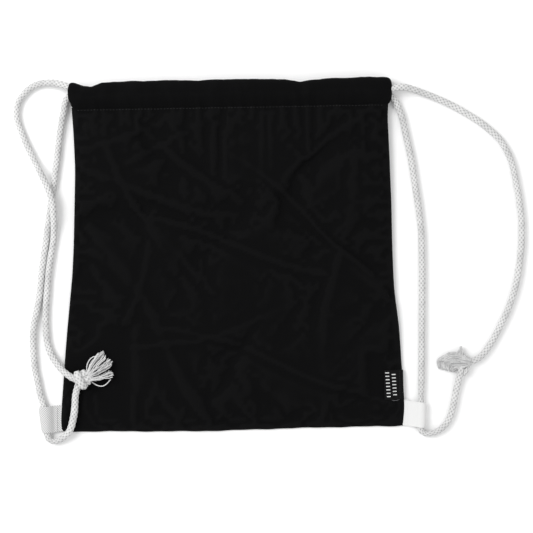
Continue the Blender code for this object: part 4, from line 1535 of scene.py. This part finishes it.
# The right frayed strands run over the knot from its right end, and curl round to the
# left and down. By place, from those beside the tail (-0.4) to the outer ones (1): the
# (x, y) of six stations.
CURL = {
    -0.4: [(261.5, 67.2), (256.2, 64.0), (251.4, 62.0), (248.6, 61.9), (247.4, 61.0), (248.4, 59.2)],
    0.0: [(262.5, 69.0), (257.0, 67.2), (249.8, 67.0), (245.0, 66.4), (242.0, 63.4), (243.0, 58.8)],
    0.5: [(263.0, 70.8), (256.6, 72.4), (248.0, 74.2), (240.5, 73.4), (235.6, 67.8), (236.6, 60.0)],
    1.0: [(264.0, 72.2), (257.6, 75.8), (249.6, 80.2), (240.2, 79.4), (228.4, 72.6), (228.0, 62.2)],
}
# at each station, z of the lowest yarn and how far the pile rises above it
CURL_LOW = (4.6, 3.4, 1.4, 1.1, 0.8, 0.6)
CURL_RISE = (5.4, 9.0, 8.6, 7.2, 5.8, 4.6)
HOLE = np.array([251.7, 71.3])  # the yarns part round this point
HOLE_RADIUS = 1.9


def curled_yarn(r):
    place = -0.4 + 1.4 * r.random() ** 0.8
    layer = r.random() ** 0.75
    mound = math.sqrt(max(0.12, 1 - ((place - 0.3) / 0.76) ** 2))
    shares = (1, 0.6 + 0.4 * mound, mound, mound, mound, mound)
    points = []
    for station, (low, rise, share) in enumerate(zip(CURL_LOW, CURL_RISE, shares)):
        x, y = [
            np.interp(place, list(CURL), [line[station][axis] for line in CURL.values()])
            for axis in (0, 1)
        ]
        spread = 0.15 + 0.16 * station
        x += r.gauss(0, spread) * 0.6
        y += r.gauss(0, spread) * 0.6
        points.append((x, y, low + rise * layer * share + r.uniform(-0.3, 0.3)))
    path, _ = even(catmull(points, 10), 1.0)
    keep = 1 - (r.uniform(0, 0.07) if r.random() < 0.75 else r.uniform(0.05, 0.35))
    path = path[: max(8, int(len(path) * keep))]
    path = waved(r, path, r.uniform(0.08, 0.32), hold=0.3)
    off = path[:, :2] - HOLE
    gap = np.maximum(np.linalg.norm(off, axis=1), 0.05)
    path[:, :2] += off / gap[:, None] * (np.clip(HOLE_RADIUS - gap, 0, None) * 0.75)[:, None]
    radius = r.uniform(0.32, 0.48)
    path[:, 2] = np.maximum(path[:, 2], radius * 1.05)
    # the tone differs at random, plus painted shade: yarns lower in the pile are darker
    return closing_end(path), radius, 0.10 + 0.60 * r.random() + 0.25 * layer


def straight_yarn(r):
    """Runs straight to a slanting end at the upper left."""
    u = r.random()
    tip = np.array([226.6 + 13.6 * u, 71.6 + 9.2 * u, r.uniform(1.0, 6.4)])
    start = np.array([
        252.0 + r.uniform(-1.5, 2.5),
        70.5 + 6.0 * u + r.uniform(-1, 1),
        tip[2] + r.uniform(1.0, 3.0),
    ])
    path = yarn_path(
        r, start, leave=176 - 14 * u, tip=tip, arrive=176 - 34 * u + r.uniform(-8, 8),
        wave=0.25, ground=on_floor, radius=0.42, count=26,
    )
    return path, r.uniform(0.32, 0.46), r.uniform(0.3, 0.9)


def tuft_yarn(r):
    """Stands out above the knot; the tips draw together."""
    lean = r.uniform(-1, 1)
    tip = np.array([253.5 + 0.9 * lean, 87.6 - abs(r.gauss(0, 2.2)), r.uniform(3.0, 7.0)])
    start = np.array([
        252.6 + 5.4 * lean, 76.4 - 1.6 * lean + r.uniform(-1.5, 1.0), 7.0 + r.uniform(-2, 2),
    ])
    path = yarn_path(
        r, start, leave=90 + 26 * lean, tip=tip, arrive=90 + 16 * lean,
        wave=0.12, ground=on_floor, radius=0.4, count=18,
    )
    return path, r.uniform(0.30, 0.42), r.uniform(0.5, 0.95)


r = random.Random(23)
curves = [
    make(r)
    for make, count in ((curled_yarn, 230), (straight_yarn, 46), (tuft_yarn, 60))
    for _ in range(count)
]
right_tassel, verts = yarn_mesh("right_tassel_yarns", curves, around=7)
away = np.hypot(verts[:, 0] - 263.0, 0.5 * (verts[:, 1] - 71.0))
follow(right_tassel, smooth01((away - 11.0) / 12))
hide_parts("right_tassel")


# ---------------------------------------------------------------- webbing tabs
TAB_THICK = 1.15
TAB_IN_SEAM = 3.4  # length of the ends inside the side seam
TAB_COLUMNS = 112
# corners are inner low, outer low, outer high, inner high. slip is how far the lower
# layer lies above the upper one, at the fold and at the seam. inset is from the seam to
# the stitches.
TABS = {
    -1: dict(
        corners=((-191.4, 0.4), (-211.0, -0.9), (-214.6, 28.4), (-190.6, 29.2)),
        slip=(-1.0, 0.3), dotted=True, material=LEFT_WEBBING,
        thread=GREY_THREAD, thread_radius=0.26, inset=2.2,
    ),
    1: dict(
        corners=((191.6, 0.2), (213.4, -2.4), (215.0, 25.6), (191.8, 28.6)),
        slip=(-5.6, 2.2), dotted=False, material=RIGHT_WEBBING,
        thread=WHITE_THREAD, thread_radius=0.2, inset=2.0,
    ),
}


def webbing_level(s, v, dotted):
    """Height of the weave, at lengths along and across the webbing."""
    if dotted:
        cell = np.sin(s / 1.10 * math.pi) * np.sin(v / 1.30 * math.pi)
        return 0.5 + 0.5 * np.sign(cell) * np.abs(cell) ** 0.7
    return 0.62 + 0.38 * np.abs(np.sin((s + v * 0.9) * math.pi)) ** 0.8


def follow_strap(obj, points, side):
    """Weights from the pouch's side in the seam to the strap 3.2 mm outside it, for follow, which
    only bakes the transform.
    """
    edge = (left_edge if side < 0 else right_edge)(points[:, 1])
    weights = smooth01(((points[:, 0] - edge) * side - 0.6) / 3.2)
    follow(obj, weights)


def tab_piece(side, corners, slip, dotted, material):
    """A strip of webbing folded round the rope; both ends lie in the side seam. Returns
    its outer face, the distance of each row from the fold, and the tab's width."""
    name = f"{HANDS[side]}_tab_webbing"
    inner_low, outer_low, outer_high, inner_high = (np.array(c, float) for c in corners)
    width = np.linalg.norm(outer_low - inner_low)
    length = np.linalg.norm(outer_high - outer_low)
    # (distance from the fold, z): the lower layer, round the rope, the upper layer
    chain = [
        (width + TAB_IN_SEAM, 1.55), (width, 1.45), (width - 4, 1.20), (width - 8, 0.9),
        (9.5, 0.72), (6.0, 0.66), (3.2, 1.05), (1.35, 2.35), (0.62, 4.6), (1.15, 6.9),
        (3.0, 8.5), (5.6, 9.05), (8.2, 8.45), (10.8, 6.7), (width - 6, 4.2), (width - 3, 3.1),
        (width, 2.45), (width + TAB_IN_SEAM, 2.3),
    ]
    profile, s = even(catmull(chain, 16), 0.36)
    probe = len(profile) // 2
    rope_centre = np.array([6.0, 4.7])
    normal = outward_normals(profile, probe, profile[probe] - rope_centre)
    reach = profile[:, 0]
    v = np.linspace(0, 1, TAB_COLUMNS)
    S, V = np.meshgrid(s, v * length, indexing="ij")
    from_edge = np.minimum(V, length - V)
    in_lower = smooth01((0.52 - s / s[-1]) / 0.3)
    at_seam = np.clip(reach / width, 0, 1)
    slide = in_lower * (slip[0] * np.clip(1 - reach / width, 0, 1) + slip[1] * at_seam)

    # pressed thinner and flatter at the seam
    pressed = smooth01(reach - width + 3)[:, None] * 0
    pressed = smooth01((reach - width + 3) / 3)[:, None]
    level = webbing_level(S, V, dotted)
    depth = (0.26 if dotted else 0.14) * (1 - 0.7 * pressed)
    selvedge = 0.16 * bell(from_edge - 0.9, 0.6)
    edge_round = 0.35 + 0.65 * np.sqrt(np.clip(from_edge / 0.55, 0, 1))
    half = TAB_THICK / 2 * np.minimum(1, edge_round)
    half = half * (1 - 0.32 * smooth01((reach - width + 3) / 3.5))[:, None]
    wave = 0.16 * value_noise(S, V, 9.0, 120 + len(name))
    # the fold's corners are drawn in a little
    pull = 1.2 * bell(from_edge, 2.2) * bell(reach[:, None], 3.2)

    def surface(sign):
        off = sign * (half + depth * (level - 1) + selvedge) + wave
        share = 1 - (reach[:, None] + normal[:, :1] * off) / width - pull / width
        z = profile[:, 1:] + normal[:, 1:] * off
        low = inner_low + (outer_low - inner_low) * share[..., None]
        high = inner_high + (outer_high - inner_high) * share[..., None]
        xy = low + (high - low) * v[None, :, None]
        y = xy[..., 1] + slide[:, None] * (1 - 0.35 * v)
        return np.stack([xy[..., 0], y, np.maximum(z, 0.04)], -1)

    # level is the weave's height; the webbing material also paints its hollows dark, as painted
    # shade
    obj, outer = ribbon(
        name, surface, S, V, probe, material, sharp=70,
        attrs={"level": np.tile(level.ravel(), 2)},
    )
    follow_strap(obj, mesh_points(obj), side)
    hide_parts(f"{HANDS[side]}_tab")
    return outer, reach, width


def tab_stitches(side, outer, reach, at, material, radius):
    """A row of stitches across the tab, on its upper layer."""
    node = f"{HANDS[side]}_tab_stitching"
    half = len(reach) // 2
    row = half + int(np.argmin(np.abs(reach[half:] - at)))
    stitched = outer[:, 3 : TAB_COLUMNS - 3]
    line = stitched[row]
    normal = unit(np.cross(np.gradient(stitched, axis=0)[row], np.gradient(line, axis=0)))
    normal *= np.sign(normal[:, 2:3])
    obj, mids = stitches(
        f"{node}_row", soften(line, 4), normal, length=1.9, gap=1.0, radius=radius,
        material=material, lift=0.10,
    )
    follow_strap(obj, mids, side)
    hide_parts(node)


made_tabs = {
    side: tab_piece(side, tab["corners"], tab["slip"], tab["dotted"], tab["material"])
    for side, tab in TABS.items()
}
for side, (outer, reach, width) in made_tabs.items():
    tab = TABS[side]
    at = width - tab["inset"]
    tab_stitches(side, outer, reach, at, tab["thread"], tab["thread_radius"])


# ---------------------------------------------------------------- side label
LABEL_SEAM = 189.4  # x of the ends in the seam
LABEL_FOLD = LABEL_LEFT + 0.4
LABEL_LENGTH = LABEL_TOP - LABEL_BOTTOM
# (x, height over the cloth): the lower layer, the fold, the upper layer
LABEL_PROFILE = [
    (LABEL_SEAM, 0.12), (184, 0.22), (176, 0.26), (LABEL_FOLD + 2, 0.24),
    (LABEL_FOLD + 0.25, 0.32), (LABEL_FOLD, 0.62), (LABEL_FOLD + 0.25, 0.92),
    (LABEL_FOLD + 2, 1.02), (176, 1.00), (184, 0.84), (LABEL_SEAM, 0.55),
]


def label_piece():
    """A folded woven ribbon: two layers with a soft fold on the pouch and their ends in
    the seam."""
    profile, s = even(catmull(LABEL_PROFILE, 14), 0.4)
    probe = int(np.argmin(profile[:, 0]))
    normal = outward_normals(profile, probe, np.array([-1.0, 0.0]))
    S, V = np.meshgrid(s, np.linspace(0, 1, 90), indexing="ij")
    y = LABEL_BOTTOM + V * LABEL_LENGTH + 0.25 * np.sin(profile[:, 0] / 6.0)[:, None]
    rib = 0.05 * np.sin(V * LABEL_LENGTH / 0.8 * TWO_PI)

    def surface(sign):
        off = sign * 0.17 + (rib if sign > 0 else rib * 0)
        x = profile[:, :1] + normal[:, :1] * off
        z = profile[:, 1:] + normal[:, 1:] * off
        ground = panel_height(front, np.minimum(x, 187.5), y)
        lift = 0.35 * np.sin(np.pi * V) * smooth01((LABEL_SEAM - x) / 16)
        return np.stack([x, y, ground + z + lift], -1)

    return ribbon(
        "side_label_ribbon", surface, S, V * LABEL_LENGTH, probe, LABEL, sharp=60
    )


def follow_label(obj, points):
    """Weights from the pouch's side in the seam to the label away from it, for follow, which only
    bakes the transform.
    """
    weights = 1 - smooth01((points[:, 0] - 184.6) / 3.4)
    follow(obj, weights)


label, label_outer = label_piece()
follow_label(label, mesh_points(label))
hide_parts("side_label")


def label_top(x, y):
    """Height of the label's upper face."""
    top = label_outer[len(label_outer) // 2 + 4 :]
    i = np.argmin(np.abs(top[:, 0, 0][:, None] - x[None, :]), 0)
    last = top.shape[1] - 1
    v = np.clip((y - LABEL_BOTTOM) / LABEL_LENGTH, 0, 1) * last
    return top[i, np.clip(np.round(v).astype(int), 0, last), 2]


def label_dashes():
    """Plain woven dashes in two columns: a pattern of equal bars, not letters."""
    nx, ny = 12, 5
    GX, GY = np.meshgrid(np.linspace(-2.1, 2.1, nx), np.linspace(-0.52, 0.52, ny), indexing="ij")
    gx, gy = GX.ravel(), GY.ravel()
    crown = 0.20 * np.sqrt(np.clip(1 - np.abs(gx / 2.25) ** 6, 0, 1))
    crown = crown * np.sqrt(np.clip(1 - np.abs(gy / 0.6) ** 4, 0, 1))
    crown = crown + 0.03 * np.sin(gx * TWO_PI / 0.95)
    verts, faces, uvs = [], [], []
    for column in range(2):
        for k in range(8 - column):
            up = 3.4 + k * 3.75 + column * 1.9
            x = 173.2 + column * 7.0 - up * 0.055 + gx
            y = LABEL_BOTTOM + up + gy
            z = label_top(x, y)
            faces += (shell_faces(nx, ny, turned=True) + len(verts) * nx * ny).tolist()
            verts += [np.stack([x, y, z + 0.04 + crown], -1), np.stack([x, y, z - 0.06], -1)]
            uvs += [np.stack([gx, gy], -1)] * 2
    uv = at_corners(faces, np.vstack(uvs))
    obj = build("side_label_dashes", np.vstack(verts), faces, DASH, uv, sharp=50)
    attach(obj, "side_label")


def label_stitching():
    ys = np.linspace(LABEL_BOTTOM + 0.8, LABEL_TOP - 0.8, 120)
    xs = np.full(120, 185.4)
    obj, mids = stitches(
        "label_stitching_row", np.stack([xs, ys, label_top(xs, ys)], 1), np.tile(UP, (120, 1)),
        length=1.9, gap=0.8, radius=0.22, material=BLACK_THREAD, lift=0.08,
    )
    follow_label(obj, mids)
    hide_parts("label_stitching")


def loose_thread():
    """A loose end of sewing thread by the lower end of the label."""
    x, y = np.array([
        (176.4, 28.9), (178.6, 28.4), (181.4, 28.5), (184.2, 29.3), (186.4, 30.1), (188.3, 30.6),
    ]).T
    z = panel_height(front, np.minimum(x, 186.5), y) + 0.35
    z[2] += 0.25  # arches a little
    z[5] -= 1.0  # and dips into the seam
    path = catmull(np.stack([x, y, z], 1), 8)
    obj, _ = yarn_mesh("loose_thread", [(path, 0.2, 0.2)], GREY_THREAD)
    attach(obj, "right_side")


label_dashes()
label_stitching()
loose_thread()


# ---------------------------------------------------------------- stage, light, camera (m)
FLOOR_HALF, FLOOR_Z = 6, -0.0003
VIEW_WIDTH = 0.5906  # what the camera's width takes in, with its sensor width as 1 m / 36


def add_object(name, data):
    obj = bpy.data.objects.new(name, data)
    bpy.context.scene.collection.objects.link(obj)
    return obj


def area_light(name, place, size, power):
    """A square light that points at the origin."""
    data = bpy.data.lights.new(name, "AREA")
    data.shape = "RECTANGLE"
    data.size = data.size_y = size
    data.energy = power
    obj = add_object(name, data)
    obj.location = place
    obj.rotation_mode = "QUATERNION"
    obj.rotation_quaternion = (-Vector(place)).to_track_quat("-Z", "Y")


mesh = bpy.data.meshes.new("floor")
floor_corners = [(x * FLOOR_HALF, y * FLOOR_HALF, FLOOR_Z) for x, y in (
    (-1, -1), (1, -1), (1, 1), (-1, 1),
)]
mesh.from_pydata(floor_corners, [], [(0, 1, 2, 3)])
mesh.materials.append(floor_material())
add_object("floor", mesh)

area_light("key_light", place=(-1.45, 0.75, 1.75), size=1.3, power=38)
area_light("fill_light", place=(1.5, -0.9, 1.9), size=2.0, power=10)

scene = bpy.context.scene
scene.world = bpy.data.worlds.new("soft_room")
scene.world.use_nodes = True
background = scene.world.node_tree.nodes["Background"]
background.inputs["Color"].default_value = (1.0, 1.0, 1.0, 1.0)
background.inputs["Strength"].default_value = 0.74
scene.view_settings.view_transform = "Standard"
scene.view_settings.look = "None"

camera_data = bpy.data.cameras.new("camera")
camera_data.lens = 100
camera_data.sensor_width = 36
camera = add_object("camera", camera_data)
camera.location = (0.0405, -0.0140, VIEW_WIDTH * 100 / 36)
camera.rotation_euler = (0, 0, math.radians(-1.0))
scene.camera = camera
